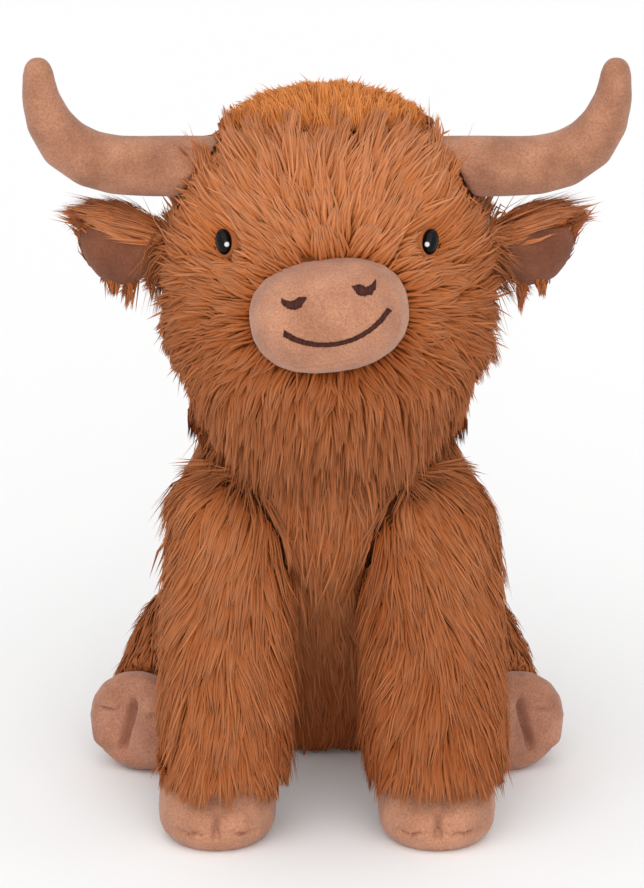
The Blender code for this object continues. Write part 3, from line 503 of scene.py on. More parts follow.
class Skin:
    """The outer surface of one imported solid."""

    seam_depth = 0.0006
    seam_reach = 0.012
    corner_limit = 1.5
    cloth_thickness = 0.0008
    lift_off = 0.0002

    def __init__(self, node: str) -> None:
        """Keep the faces of a node that look outwards.

        Args:
            node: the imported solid's name.
        """
        self.mesh = merged_copy(node)
        own = BVHTree.FromBMesh(self.mesh)
        low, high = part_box(node)
        reach = (high - low).length
        inner = [face for face in self.mesh.faces
                 if own.ray_cast(face.calc_center_median() + face.normal * MERGE, face.normal, reach)[0]]
        bmesh.ops.delete(self.mesh, geom=inner, context="FACES")
        self.keep_largest()
        self.untangle()
        self.mesh.normal_update()
        self.tree = BVHTree.FromBMesh(self.mesh)
        border = [vert.co.copy() for vert in self.mesh.verts if vert.is_boundary]
        self.border = tree_of(border) if border else None

    def keep_largest(self) -> None:
        """Delete all but the largest connected part."""
        waiting = set(self.mesh.faces)
        parts = []
        while waiting:
            part, reached = [], [waiting.pop()]
            while reached:
                face = reached.pop()
                part.append(face)
                near = {other for edge in face.edges for other in edge.link_faces} & waiting
                waiting -= near
                reached.extend(near)
            parts.append(part)
        parts.sort(key=lambda part: (len(part), part[0].calc_center_median().x))
        spare = [face for part in parts[:-1] for face in part]
        bmesh.ops.delete(self.mesh, geom=spare, context="FACES")

    def untangle(self) -> None:
        """Delete faces where two of the surface's borders touch, so that each border is one loop."""
        while True:
            knots = [vert for vert in self.mesh.verts
                     if sum(edge.is_boundary for edge in vert.link_edges) > 2]
            if not knots:
                return
            bmesh.ops.delete(self.mesh, geom=knots, context="VERTS")

    def closed(self) -> bmesh.types.BMesh:
        """Return the surface with its openings filled."""
        bm = self.mesh.copy()
        loose = [vert for vert in bm.verts if not vert.link_faces]
        bmesh.ops.delete(bm, geom=loose, context="VERTS")
        bmesh.ops.holes_fill(bm, edges=[edge for edge in bm.edges if edge.is_boundary], sides=0)
        rest = [edge for edge in bm.edges if edge.is_boundary]
        if rest:
            bmesh.ops.triangle_fill(bm, use_beauty=True, edges=rest)
        bmesh.ops.triangulate(bm, faces=bm.faces[:])
        bmesh.ops.recalc_face_normals(bm, faces=bm.faces)
        return bm

    def scatter(self, count: int, rng: np.random.Generator, cover: float) -> tuple[np.ndarray, np.ndarray]:
        """Scatter roots over the surface, apart from where another piece covers it.

        Args:
            count: how many roots are tried.
            rng: the source of random numbers.
            cover: how near another piece may lie in front of a root.

        Returns:
            The roots and the surface's normals there.
        """
        triangles = self.mesh.calc_loop_triangles()
        corners = np.array([[loop.vert.co for loop in tri] for tri in triangles])
        bends = np.array([[loop.vert.normal for loop in tri] for tri in triangles])
        areas = np.linalg.norm(np.cross(corners[:, 1] - corners[:, 0], corners[:, 2] - corners[:, 0]), axis=1)
        chosen = rng.choice(len(areas), size=count, p=areas / areas.sum())
        first, second = rng.random(count), rng.random(count)
        over = first + second > 1
        first[over], second[over] = 1 - first[over], 1 - second[over]
        shares = np.stack([1 - first - second, first, second], axis=1)[:, :, None]
        roots = (corners[chosen] * shares).sum(axis=1)
        normals = unit((bends[chosen] * shares).sum(axis=1))
        starts = roots + normals * self.lift_off
        open_air = np.array([TOY.ray_cast(Vector(start), Vector(normal), cover)[0] is None
                             for start, normal in zip(starts, normals)])
        return roots[open_air], normals[open_air]

    def nearest(self, places: np.ndarray) -> tuple[np.ndarray, np.ndarray]:
        """Find the surface's nearest point to each place, and the normal there."""
        found = [self.tree.find_nearest(Vector(place))[:2] for place in places]
        return np.array([item[0] for item in found]), np.array([item[1] for item in found])

    def sunk(self, places: np.ndarray, depth: float) -> np.ndarray:
        """Say how far below the surface the backing lies: near a border it rises to the seam.

        Args:
            places: points of the surface.
            depth: how far below it lies elsewhere.

        Returns:
            The depth at each place.
        """
        if self.border is None:
            return np.full(len(places), depth)
        far = np.array([self.border.find(Vector(place))[2] for place in places])
        return self.seam_depth + (depth - self.seam_depth) * np.minimum(far / self.seam_reach, 1.0)

    def backing(self, depth: float, sides: int) -> bmesh.types.BMesh:
        """Return a closed sheet of backing cloth that lies below the surface.

        Args:
            depth: how far below.
            sides: openings with up to this many edges are sewn shut.

        Returns:
            The sheet's mesh.
        """
        bm = self.mesh.copy()
        if sides:
            bmesh.ops.holes_fill(bm, edges=[edge for edge in bm.edges if edge.is_boundary], sides=sides)
            bm.normal_update()
        sunk = self.sunk(np.array([vert.co for vert in bm.verts]), depth)
        steps = [vert.normal * (min(vert.calc_shell_factor(), self.corner_limit) * float(far))
                 for vert, far in zip(bm.verts, sunk)]
        for vert, step in zip(bm.verts, steps):
            vert.co -= step
        bmesh.ops.solidify(bm, geom=bm.faces[:], thickness=self.cloth_thickness)
        bmesh.ops.recalc_face_normals(bm, faces=bm.faces)
        return bm


@dataclass
class Blade:
    """The shape of one lock or stitch: a slim blade, in rings from its root to its tip."""

    sides: int = 3
    levels: tuple[float, ...] = (0.2, 0.55)
    fullness: tuple[float, ...] = (0.75, 1.0, 0.9, 0.5, 0.0)
    fullness_places: tuple[float, ...] = (0.0, 0.2, 0.55, 0.85, 1.0)
    roundness: float = 0.75
    map_margin: float = 0.03
    map_width: float = 0.004
    map_root: float = 0.02

    def __post_init__(self) -> None:
        """Build the blade once, as a cone cut across at its levels."""
        bm = bmesh.new()
        bmesh.ops.create_cone(bm, cap_ends=True, segments=self.sides, radius1=1, radius2=0, depth=1,
                              matrix=Matrix.Translation((0, 0, 0.5)))
        bmesh.ops.remove_doubles(bm, verts=bm.verts, dist=MERGE)
        for level in self.levels:
            bmesh.ops.bisect_plane(bm, geom=bm.verts[:] + bm.edges[:] + bm.faces[:],
                                   plane_co=(0, 0, level), plane_no=(0, 0, 1))
        bmesh.ops.recalc_face_normals(bm, faces=bm.faces)
        bm.verts.index_update()
        self.heights = np.array([vert.co.z for vert in bm.verts])
        flat = np.array([vert.co.xy for vert in bm.verts])
        reach = np.linalg.norm(flat, axis=1, keepdims=True)
        self.rounds = np.where(reach > MERGE, flat / np.maximum(reach, MERGE), 0.0)
        self.faces = [[vert.index for vert in face.verts] for face in bm.faces]
        self.turns = np.array([1.0 if sum(self.rounds[index][1] for index in face) > 0 else -1.0
                               for face in self.faces for _ in face])
        self.places = np.array(sorted({round(float(height), 4) for height in self.heights}))
        self.rings = np.array([int(np.argmin(abs(self.places - height))) for height in self.heights])
        bm.free()

    def lay(self, name: str, curves: np.ndarray, faces_up: np.ndarray, widths: np.ndarray,
            flatness: float, tints: np.ndarray) -> bpy.types.Mesh:
        """Lay one blade along each curve, and map each with its tint and its height.

        Args:
            name: the mesh's name.
            curves: each lock's middle line, at the blade's places.
            faces_up: the direction each lock's broad face looks.
            widths: each lock's half width at its fullest.
            flatness: a lock's thickness as a share of its width.
            tints: each lock's tint, from 0 to 1.

        Returns:
            The mesh.
        """
        count = len(curves)
        runs = unit(np.gradient(curves, axis=1))
        across = unit(np.cross(faces_up[:, None, :], runs))
        up = np.cross(runs, across)
        fullness = np.interp(self.places, self.fullness_places, self.fullness)
        reach = widths[:, None, None] * fullness[None, self.rings, None]
        verts = (curves[:, self.rings] + across[:, self.rings] * reach * self.rounds[None, :, :1]
                 + up[:, self.rings] * reach * self.rounds[None, :, 1:] * flatness)
        size = len(self.heights)
        mesh = bpy.data.meshes.new(name)
        mesh.vertices.add(count * size)
        mesh.vertices.foreach_set("co", verts.astype(np.float32).ravel())
        corners = np.array([index for face in self.faces for index in face])
        counts = np.array([len(face) for face in self.faces])
        loops = (corners[None, :] + (np.arange(count) * size)[:, None]).ravel()
        mesh.loops.add(len(loops))
        mesh.loops.foreach_set("vertex_index", loops.astype(np.int32))
        starts = np.concatenate([[0], np.cumsum(counts)[:-1]])
        starts = (starts[None, :] + (np.arange(count) * len(corners))[:, None]).ravel()
        mesh.polygons.add(len(starts))
        mesh.polygons.foreach_set("loop_start", starts.astype(np.int32))
        mesh.update(calc_edges=True)
        u_values = tints[:, None] * (1 - 2 * self.map_margin) + self.map_margin
        u_values = u_values + self.rounds[None, :, 0] * self.map_width
        v_values = self.map_root + (1 - 2 * self.map_root) * self.heights[None, :]
        v_values = np.broadcast_to(v_values, u_values.shape)
        places = np.stack([u_values, v_values], axis=2).reshape(-1, 2)[loops]
        layer = mesh.uv_layers.new(name="OFBake")
        layer.data.foreach_set("uv", places.astype(np.float32).ravel())
        mesh.validate()
        mesh.shade_smooth()
        ring, turned = self.rings[corners], self.rounds[corners]
        outward = across[:, ring] * turned[None, :, :1] + up[:, ring] * turned[None, :, 1:]
        soft = unit(outward * self.roundness + up[:, ring] * self.turns[None, :, None])
        mesh.normals_split_custom_set(soft.reshape(-1, 3).astype(np.float32))
        return mesh


BLADE = Blade()
STITCH = Blade(sides=6, levels=(0.12, 0.5, 0.88), fullness=(0.5, 1.0, 1.0, 0.95, 0.0))


@dataclass
class Lay:
    """How the locks of a coat lie at their roots; a single number holds for all of them."""

    direction: np.ndarray
    length: np.ndarray
    crest: np.ndarray
    tint: np.ndarray
    puff: np.ndarray

    def __post_init__(self) -> None:
        """Spread single numbers over the locks."""
        count = len(self.direction)
        self.length, self.crest, self.tint, self.puff = (
            np.broadcast_to(part, count) for part in (self.length, self.crest, self.tint, self.puff))

    def keep(self, chosen: np.ndarray) -> "Lay":
        """Return the lay of some of the locks."""
        return Lay(self.direction[chosen], self.length[chosen], self.crest[chosen], self.tint[chosen],
                   self.puff[chosen])

    def shorten(self, room: np.ndarray, chosen: np.ndarray | bool = True) -> None:
        """Keep the locks, or the chosen ones, within their room."""
        self.length = np.where(chosen, np.minimum(self.length, room), self.length)


@dataclass(frozen=True)
class Comb:
    """How unevenly every coat is combed. Pairs are ranges that are drawn from evenly."""

    shortest: float = 0.0035
    width_range: Pair = (0.75, 1.25)
    lock_stray_share: float = 0.5
    tuft_length_range: Pair = (0.82, 1.14)
    lock_length_range: Pair = (0.80, 1.06)
    root_share: float = 0.24
    crest_spread: float = 0.0009
    tuft_open_range: Pair = (0.1, 1.0)
    lock_open_range: Pair = (0.3, 1.7)
    wild_opening: float = 0.16
    wild_open_range: Pair = (0.3, 1.0)
    curl_range: Pair = (0.6, 1.4)
    stopped_share: float = 0.45
    lift_share: float = 0.35
    opening_power: float = 1.6
    pull: Rise = Rise(0.1, 1.0)
    pull_range: Pair = (0.75, 1.1)
    ground_range: Pair = (0.0006, 0.003)
    patch_scale: float = 45.0
    patch_place: Triple = (7, 3, 5)
    patch_tint: float = 0.05
    tuft_tint: float = 0.04
    lock_tint: float = 0.035
    wild_tint: float = 0.12
    quick_share: float = 0.35
    quick_width: float = 1.5


COMB = Comb()


@dataclass
class Coat:
    """A long-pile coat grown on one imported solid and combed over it."""

    node: str
    body: str
    finish: PileFinish
    cloth: ClothFinish
    per_area: float = 450000.0
    length: float = 0.033
    half_width: float = 0.00068
    flatness: float = 0.30
    depth: float = 0.0055
    crest: float = 0.0006
    tint: float = 0.5
    open_share: float = 0.07
    cover: float = 0.0018
    tuft_size: int = 14
    tuft_pull: float = 0.60
    stray: float = 0.10
    swirl: float = 0.30
    swirl_scale: float = 28.0
    curl: float = 0.0010
    steps: int = 7
    droop: float = 0.18
    fall: float = 0.18
    cling: Rise = Rise(0.05, 0.65)
    sewn_sides: int = 0
    wild_share: float = 0.05
    clear_of: tuple[str, ...] = ()
    clear_by: float = 0.0018
    fill: float = 0.8
    base_slope: float = -0.6
    base_height: float = 0.014
    seed: int = 1

    def grows(self, roots: np.ndarray, normals: np.ndarray) -> np.ndarray:
        """Say which roots grow a lock: none do on a base that rests on the ground."""
        return (normals[:, 2] > self.base_slope) | (roots[:, 2] > self.base_height)

    def flow(self, roots: np.ndarray, normals: np.ndarray) -> np.ndarray:
        """Say which way the locks run before they are laid along the skin."""
        return DOWN

    def lay(self, roots: np.ndarray, normals: np.ndarray) -> Lay:
        """Say how the locks lie; each coat has its own way.

        Args:
            roots: the locks' roots.
            normals: the surface's normals there.

        Returns:
            The lay.
        """
        direction = along_surface(self.flow(roots, normals), normals)
        return Lay(direction, self.length, self.crest, self.tint, 0.0)

    def trim(self, roots: np.ndarray, lay: Lay) -> None:
        """Shorten the locks that would cover what stays in view; a plain coat shortens none.

        Args:
            roots: the locks' roots; not used here.
            lay: how they lie; not used here.
        """

    def leaves(self, places: np.ndarray, normals: np.ndarray) -> np.ndarray:
        """Say which locks leave the skin; on most coats none do before its border."""
        return np.zeros(len(places), dtype=bool)

    def weight(self, places: np.ndarray, lost: np.ndarray) -> np.ndarray:
        """Say how strongly each free lock turns downwards."""
        return np.where(lost, self.fall, self.droop)

    def build(self) -> list[bpy.types.Object]:
        """Build the backing cloth and the locks.

        Returns:
            The pieces.
        """
        self.skin = Skin(self.node)
        self.others = [(Skin(node), *(np.array(corner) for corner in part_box(node))) for node in self.clear_of]
        rng = np.random.default_rng(self.seed)
        area = sum(face.calc_area() for face in self.skin.mesh.faces)
        share, wider = ((1.0, 1.0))
        roots, normals = self.skin.scatter(int(area * self.per_area * share), rng, self.cover)
        grown = self.grows(roots, normals)
        roots, normals = roots[grown], normals[grown]
        sheet = self.skin.backing(self.depth, self.sewn_sides)
        backing = new_piece(f"{self.node}_backing", sheet, self.cloth, self.body)
        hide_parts(self.node)
        pieces = [backing]
        lay = self.lay(roots, normals)
        self.trim(roots, lay)
        long_enough = lay.length > COMB.shortest
        roots, normals, lay = roots[long_enough], normals[long_enough], lay.keep(long_enough)
        curves, tints = self.combed(roots, normals, lay, rng)
        widths = self.half_width * rng.uniform(*COMB.width_range, len(roots)) * wider
        order = rng.permutation(len(roots))
        parts = math.ceil(len(roots) / LOCK_LIMIT)
        for index, chosen in enumerate(np.array_split(order, parts)):
            mesh = BLADE.lay(f"{self.node}_locks_{index + 1}", curves[chosen], normals[chosen],
                             widths[chosen], self.flatness, tints[chosen])
            pieces.append(carried(placed(mesh.name, mesh), self.finish, self.body))
        log.info("%s: %d locks in %d pieces", self.node, len(roots), parts)
        return pieces

    def combed(self, roots: np.ndarray, normals: np.ndarray, lay: Lay,
               rng: np.random.Generator) -> tuple[np.ndarray, np.ndarray]:
        """Comb each lock over the skin along its lay, and lean it towards the tip of its tuft.

        Args:
            roots: the locks' roots, on the coat's outer surface.
            normals: the surface's normals there.
            lay: how the locks lie.
            rng: the source of random numbers.

        Returns:
            Each lock's middle line at the blade's places, and its tint.
        """
        count = len(roots)
        heads = max(count // self.tuft_size, 1)
        tree = tree_of(roots[:heads])
        tuft = np.array([tree.find(Vector(root))[1] for root in roots])
        swing = (self.swirl * noise_at(roots, self.swirl_scale) + rng.normal(0, self.stray, heads)[tuft]
                 + rng.normal(0, self.stray * COMB.lock_stray_share, count))
        across = np.cross(normals, lay.direction)
        heading = unit(lay.direction * np.cos(swing)[:, None] + across * np.sin(swing)[:, None])
        wild = rng.random(count) < self.wild_share
        length = lay.length * rng.uniform(*COMB.tuft_length_range, heads)[tuft]
        length = length * rng.uniform(*COMB.lock_length_range, count)
        depth = np.minimum(self.skin.sunk(roots, self.depth), COMB.root_share * length)
        crest = lay.crest + COMB.crest_spread * rng.normal(0, 1, count)
        opening = (self.open_share + lay.puff) * rng.uniform(*COMB.tuft_open_range, heads)[tuft]
        opening = opening * rng.uniform(*COMB.lock_open_range, count)
        opening += COMB.wild_opening * wild * rng.uniform(*COMB.wild_open_range, count)
        curl = self.curl * np.sin(rng.uniform(0, math.tau, heads))[tuft] * rng.uniform(*COMB.curl_range, count)
        curves = np.empty((count, len(BLADE.places), 3))
        curves[:, 0] = roots - normals * depth[:, None]
        guide, upward, lost = roots.copy(), normals.copy(), np.zeros(count, dtype=bool)
        marks = np.unique(np.concatenate([np.linspace(0, 1, self.steps + 1), BLADE.places]).round(4))
        for start, stop in zip(marks[:-1], marks[1:]):
            pace = length * (stop - start)
            ahead = guide + heading * pace[:, None]
            near, bend = self.skin.nearest(ahead)
            stopped = np.linalg.norm(near - guide, axis=1) < COMB.stopped_share * pace
            lost |= stopped | self.leaves(guide, bend)
            hug = self.cling(np.sum(bend * normals, axis=1))
            hug = np.where(lost, 0.0, hug)[:, None]
            guide = near * hug + ahead * (1 - hug)
            upward = unit(upward + bend * hug + upward * (1 - hug))
            fallen = unit(heading + DOWN * self.weight(guide, lost)[:, None] * (1 - hug))
            heading = along_surface(fallen, upward) * hug + fallen * (1 - hug)
            self.drape(guide, upward, heading, lost)
            step = int(np.argmin(abs(BLADE.places - stop)))
            if math.isclose(BLADE.places[step], stop, abs_tol=1e-3):
                lift = math.sin(min(stop / COMB.lift_share, 1) * math.pi / 2)
                height = (crest + depth) * lift - depth + length * opening * stop ** COMB.opening_power
                curves[:, step] = (guide + upward * height[:, None]
                                   + across * (curl * math.sin(stop * math.pi))[:, None])
        pull = self.tuft_pull * COMB.pull(BLADE.places)
        pull = pull[None, :, None] * (rng.uniform(*COMB.pull_range, count) * (1 - wild))[:, None, None]
        curves = curves * (1 - pull) + curves[tuft] * pull
        curves[:, 1:, 2] = np.maximum(curves[:, 1:, 2], rng.uniform(*COMB.ground_range, count)[:, None])
        tint = (lay.tint + COMB.patch_tint * noise_at(roots, COMB.patch_scale, COMB.patch_place)
                + rng.normal(0, COMB.tuft_tint, heads)[tuft] + rng.normal(0, COMB.lock_tint, count))
        return curves, np.clip(tint + COMB.wild_tint * wild, 0, 1)

    def drape(self, guide: np.ndarray, upward: np.ndarray, heading: np.ndarray, lost: np.ndarray) -> None:
        """Lift the locks that run into a neighbouring piece, and lay them over it.

        Args:
            guide: where each lock has come to; it is changed in place.
            upward: which way is up off the surface there; it is changed in place.
            heading: which way each lock runs; it is changed in place.
            lost: which locks have left their own skin; it is changed in place.
        """
        for skin, low, high in self.others:
            close = np.nonzero(np.all((guide > low) & (guide < high), axis=1))[0]
            if not len(close):
                continue
            near, outward = skin.nearest(guide[close])
            inside = np.sum((guide[close] - near) * outward, axis=1) < self.clear_by
            hit = close[inside]
            guide[hit] = (near + outward * self.clear_by)[inside]
            upward[hit] = unit(upward[hit] + outward[inside])
            heading[hit] = along_surface(heading[hit], outward[inside])
            lost[hit] = True


@dataclass
class HeadCoat(Coat):
    """The head's pile, which parts at the muzzle and runs up, out and down from it."""

    tint: float = 0.44
    part_back: float = 0.012
    part_stretch: Triple = (0.82, 0.6, 1.08)
    front: Rise = Rise(0.035, -0.020)
    below: Rise = Rise(0.040, -0.040)
    behind_share: float = 0.12
    back_fall: float = 0.9
    chin_fall: float = 0.38
    border_share: float = 0.44
    border: Rise = Rise(0.030, 0.072)
    border_crest: float = 0.0006
    top: Rise = Rise(0.285, 0.330)
    top_shorter: float = 0.12
    # Painted light on the brow; painted shade below the muzzle and under the crown's lower edge
    brow: Rise = Rise(0.255, 0.31)
    brow_painted_light: float = 0.20
    chin_painted_shade: float = 0.22
    edge: Rise = Rise(0.326, 0.344)
    crown_edge_painted_shade: float = 0.20
    jowl_out: Rise = Rise(0.035, 0.065)
    jowl_down: Rise = Rise(0.250, 0.215)
    jowl_shorter: float = 0.42
    jowl_crest: float = 0.0055
    jowl_slant: float = 0.02
    cheek_out: Rise = Rise(0.055, 0.075)
    cheek_height: float = 0.262
    cheek_width: float = 0.022
    right_cheek_share: float = 0.15
    cheek_longer: float = 0.22
    cheek_puff: float = 0.20
    brow_top: Rise = Rise(0.312, 0.334)
    brow_puff: float = 0.24
    ear_out: float = 0.074
    ear_drop: float = 0.012
    ear_width: float = 0.020
    ear_puff: float = 0.30
    stand_below: float = 0.004
    stand_half_width: float = 0.048
    chin_slope: float = -0.35
    free: Rise = Rise(0.285, 0.315)
    free_hold: float = 0.9
    upward_least: float = 0.2
    crown_back: float = 0.02
    crown_half_width: float = 0.072
    crown_overlap: float = 0.013
    overlap_falls: Rise = Rise(0.026, 0.054)
    overlap_fall: float = 0.015
    overlap_jagged: float = 0.014
    jagged_stretch: Triple = (150, 0, 0)
    jagged_place: Triple = (0, 3, 5)
    stub: float = 0.006
    lining_edge: float = 0.086
    lining_height: float = 0.272
    lining_half_height: float = 0.016
    lining_back: float = 0.01
    eye_radius: float = 0.0065
    eye_margin: float = 0.002
    eye_reach: float = 0.045
    eye_hollow: float = 0.016
    eye_hollow_depth: float = 0.0015

    def lay(self, roots: np.ndarray, normals: np.ndarray) -> Lay:
        """Let the pile run from the muzzle over the face, and down at the back."""
        middle = centre_of("muzzle") + (0, self.part_back, 0)
        away = roots - middle
        out, height = abs(roots[:, 0]), roots[:, 2]
        front, below = self.front(roots[:, 1]), self.below(height - middle[2])
        apart = self.behind_share + (1 - self.behind_share) * front
        sinks = (1 - front) * self.back_fall + below * self.chin_fall
        flow = unit(away) * apart[:, None] + DOWN * sinks[:, None]
        distance = np.linalg.norm(away * self.part_stretch, axis=1)
        grown = self.border_share + (1 - self.border_share) * self.border(distance)
        # Tint: painted light on the brow, painted shade below the muzzle and just under the crown's edge
        tint = self.tint + self.brow_painted_light * self.brow(height) * front - self.chin_painted_shade * below
        tint -= self.crown_edge_painted_shade * self.edge(height)
        jowl = self.jowl_out(out) * self.jowl_down(height)
        crest = (self.crest + self.border_crest * (1 - grown)
                 - (self.jowl_crest - self.jowl_slant * roots[:, 0]) * jowl)
        cheek = self.cheek_out(out) * ridge(height - self.cheek_height, self.cheek_width)
        cheek *= np.where(roots[:, 0] > 0, 1.0, self.right_cheek_share)
        length = self.length * grown * (1 - self.top_shorter * self.top(height))
        length *= (1 - self.jowl_shorter * jowl) * (1 + self.cheek_longer * cheek)
        puff = self.cheek_puff * cheek + self.brow_puff * self.brow_top(height) * front
        for side in Side:
            low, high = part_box(f"ear_{side.label}")
            ear = np.array((side.value * self.ear_out, low.y / 2, high.z - self.ear_drop))
            puff += self.ear_puff * ridge(np.linalg.norm(roots - ear, axis=1), self.ear_width)
        return Lay(along_surface(flow, normals), length, crest, tint, puff)

    def leaves(self, places: np.ndarray, normals: np.ndarray) -> np.ndarray:
        """Let the chin's locks hang over the chest, and the forehead's stand before the crown."""
        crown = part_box("crown_tuft")[0].z
        stands = (places[:, 2] > crown - self.stand_below) & (places[:, 1] < 0.0)
        return (normals[:, 2] < self.chin_slope) | (stands & (abs(places[:, 0]) < self.stand_half_width))

    def weight(self, places: np.ndarray, lost: np.ndarray) -> np.ndarray:
        """Turn free locks downwards, but hardly on the forehead."""
        return super().weight(places, lost) * (1 - self.free_hold * self.free(places[:, 2]))

    def trim(self, roots: np.ndarray, lay: Lay) -> None:
        """Stop the locks short of the eyes and the ear linings, and let their tips just meet the crown."""
        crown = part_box("crown_tuft")[0].z
        out, height, upward = abs(roots[:, 0]), roots[:, 2], lay.direction[:, 2]
        jagged = noise_at(roots * self.jagged_stretch, 1.0, self.jagged_place)
        below = (roots[:, 1] < self.crown_back) & (out < self.crown_half_width) & (upward > self.upward_least)
        over = self.crown_overlap - self.overlap_fall * self.overlap_falls(out)
        room = crown + over + self.overlap_jagged * jagged - height
        lay.shorten(np.maximum(room / np.maximum(upward, self.upward_least), self.stub), below)
        outward = np.sign(roots[:, 0]) * lay.direction[:, 0]
        beside = (abs(height - self.lining_height) < self.lining_half_height) & (outward > self.upward_least)
        room = np.maximum(self.lining_edge - out, self.stub) / np.maximum(outward, self.upward_least)
        lay.shorten(room, beside & (roots[:, 1] < self.lining_back))
        for side in Side:
            way = centre_of(f"eye_{side.label}") - roots
            near = np.linalg.norm(way, axis=1)
            ahead = np.sum(way * lay.direction, axis=1)
            aside = np.linalg.norm(way - lay.direction * ahead[:, None], axis=1)
            blocks = (aside < self.eye_radius + self.eye_margin) & (ahead > 0) & (near < self.eye_reach)
            lay.shorten(np.maximum(ahead - self.eye_radius, 0.0), blocks)
            lay.crest = np.where(near < self.eye_hollow, lay.crest - self.eye_hollow_depth, lay.crest)


@dataclass
class TorsoCoat(Coat):
    """The body's pile, which falls down the chest and the back."""

    tint: float = 0.32
    fan: float = 0.85
    fan_out: Rise = Rise(0.012, 0.060)
    fan_up: Rise = Rise(0.03, 0.12)
    fan_slope: Rise = Rise(0.8, 0.3)
    # Darker low between the legs: partly the belly's own darker fur, partly painted shade
    belly_down: Rise = Rise(0.115, 0.040)
    belly_front: Rise = Rise(0.05, 0.0)
    belly_dark_fur_and_shade: float = 0.30
    # Slightly darker on the upper chest under the head: painted shade
    chest: Rise = Rise(0.10, 0.16)
    chest_painted_shade: float = 0.02
    chest_longer: float = 0.25

    def lay(self, roots: np.ndarray, normals: np.ndarray) -> Lay:
        """Let the pile fall, and fan outwards from the middle of the chest."""
        side, depth, height = roots.T
        fan = self.fan * np.sign(side) * self.fan_out(abs(side))
        fan *= self.fan_up(height) * self.fan_slope(normals[:, 2])
        belly = self.belly_down(height) * self.belly_front(depth)
        chest = self.chest(height)
        # The tint is lowered on the belly, partly painted shade, and under the head as painted shade
        return Lay(along_surface(fan[:, None] * np.array(X) + DOWN, normals),
                   self.length * (1 + self.chest_longer * chest), self.crest,
                   self.tint - self.belly_dark_fur_and_shade * belly - self.chest_painted_shade * chest, 0.0)


@dataclass
class FrontLegCoat(Coat):
    """A front leg's pile, which falls over the top of its hoof."""

    side: Side = Side.LEFT
    heights: Pair = (0.033, 0.136)
    middles: Pair = (0.054, 0.050)
    flare: float = 0.50
    flare_width: float = 0.034
    high: Rise = Rise(0.07, 0.15)
    high_flare: float = 0.5
    high_out: float = 0.42
    # Lighter high on the leg: painted light
    high_painted_light: float = 0.12
    forward: float = 0.15
    # Darker on the inner side, between the legs: painted shade
    inner: Rise = Rise(-0.012, -0.030)
    inner_painted_shade: float = 0.16
    outer: Rise = Rise(0.010, 0.028)
    tuck: float = 0.0
    hoof_cover: float = 0.007
    hoof_jagged: float = 0.006
    jagged_scale: float = 170.0
    jagged_stretch: Triple = (1, 1, 0.1)
    fall_least: float = 0.65

    def lay(self, roots: np.ndarray, normals: np.ndarray) -> Lay:
        """Let the pile fall down the leg and flare from its middle."""
        out = roots[:, 0] * self.side.value - np.interp(roots[:, 2], self.heights, self.middles)
        high, inner = self.high(roots[:, 2]), self.inner(out)
        across = self.flare * out / self.flare_width * (1 - self.high_flare * high)
        across += self.high_out * high * (1 - inner)
        flow = (across * self.side.value)[:, None] * np.array(X) + (0, -self.forward, -1)
        # The tint carries painted light high on the leg and painted shade on its inner side
        return Lay(along_surface(flow, normals), self.length, self.crest - self.tuck * self.outer(out),
                   self.tint + self.high_painted_light * high - self.inner_painted_shade * inner, 0.0)

    def trim(self, roots: np.ndarray, lay: Lay) -> None:
        """Stop the locks a little below the top of the hoof."""
        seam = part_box(self.node.replace("leg", "hoof"))[1].z
        fall = np.maximum(-lay.direction[:, 2], self.fall_least)
        jagged = noise_at(roots * self.jagged_stretch, self.jagged_scale)
        room = (roots[:, 2] - seam + self.hoof_cover + self.hoof_jagged * jagged) / fall
        lay.shorten(np.maximum(room, 0.0))


@dataclass
class HindLegCoat(Coat):
    """A thigh's pile, which runs down and out to its hoof."""

    tint: float = 0.34
    seam_back: float = 0.016
    hoof_cover: float = 0.005
    out_share: float = 0.8
    down_share: float = 0.7
    speed_least: float = 0.1
    stub: float = 0.004

    def flow(self, roots: np.ndarray, normals: np.ndarray) -> np.ndarray:
        """Let the pile run towards the hoof and down."""
        hoof = centre_of(self.node.replace("leg", "hoof"))
        self.heading = unit((hoof - centre_of(self.node)) * (1, 1, 0))
        self.seam = hoof - self.heading * self.seam_back
        return self.heading * self.out_share + DOWN * self.down_share

    def trim(self, roots: np.ndarray, lay: Lay) -> None:
        """Stop the locks a little past the seam of the hoof."""
        left = np.sum((self.seam - roots) * self.heading, axis=1) + self.hoof_cover
        speed = np.maximum(np.sum(lay.direction * self.heading, axis=1), self.speed_least)
        lay.shorten(np.maximum(left / speed, self.stub))


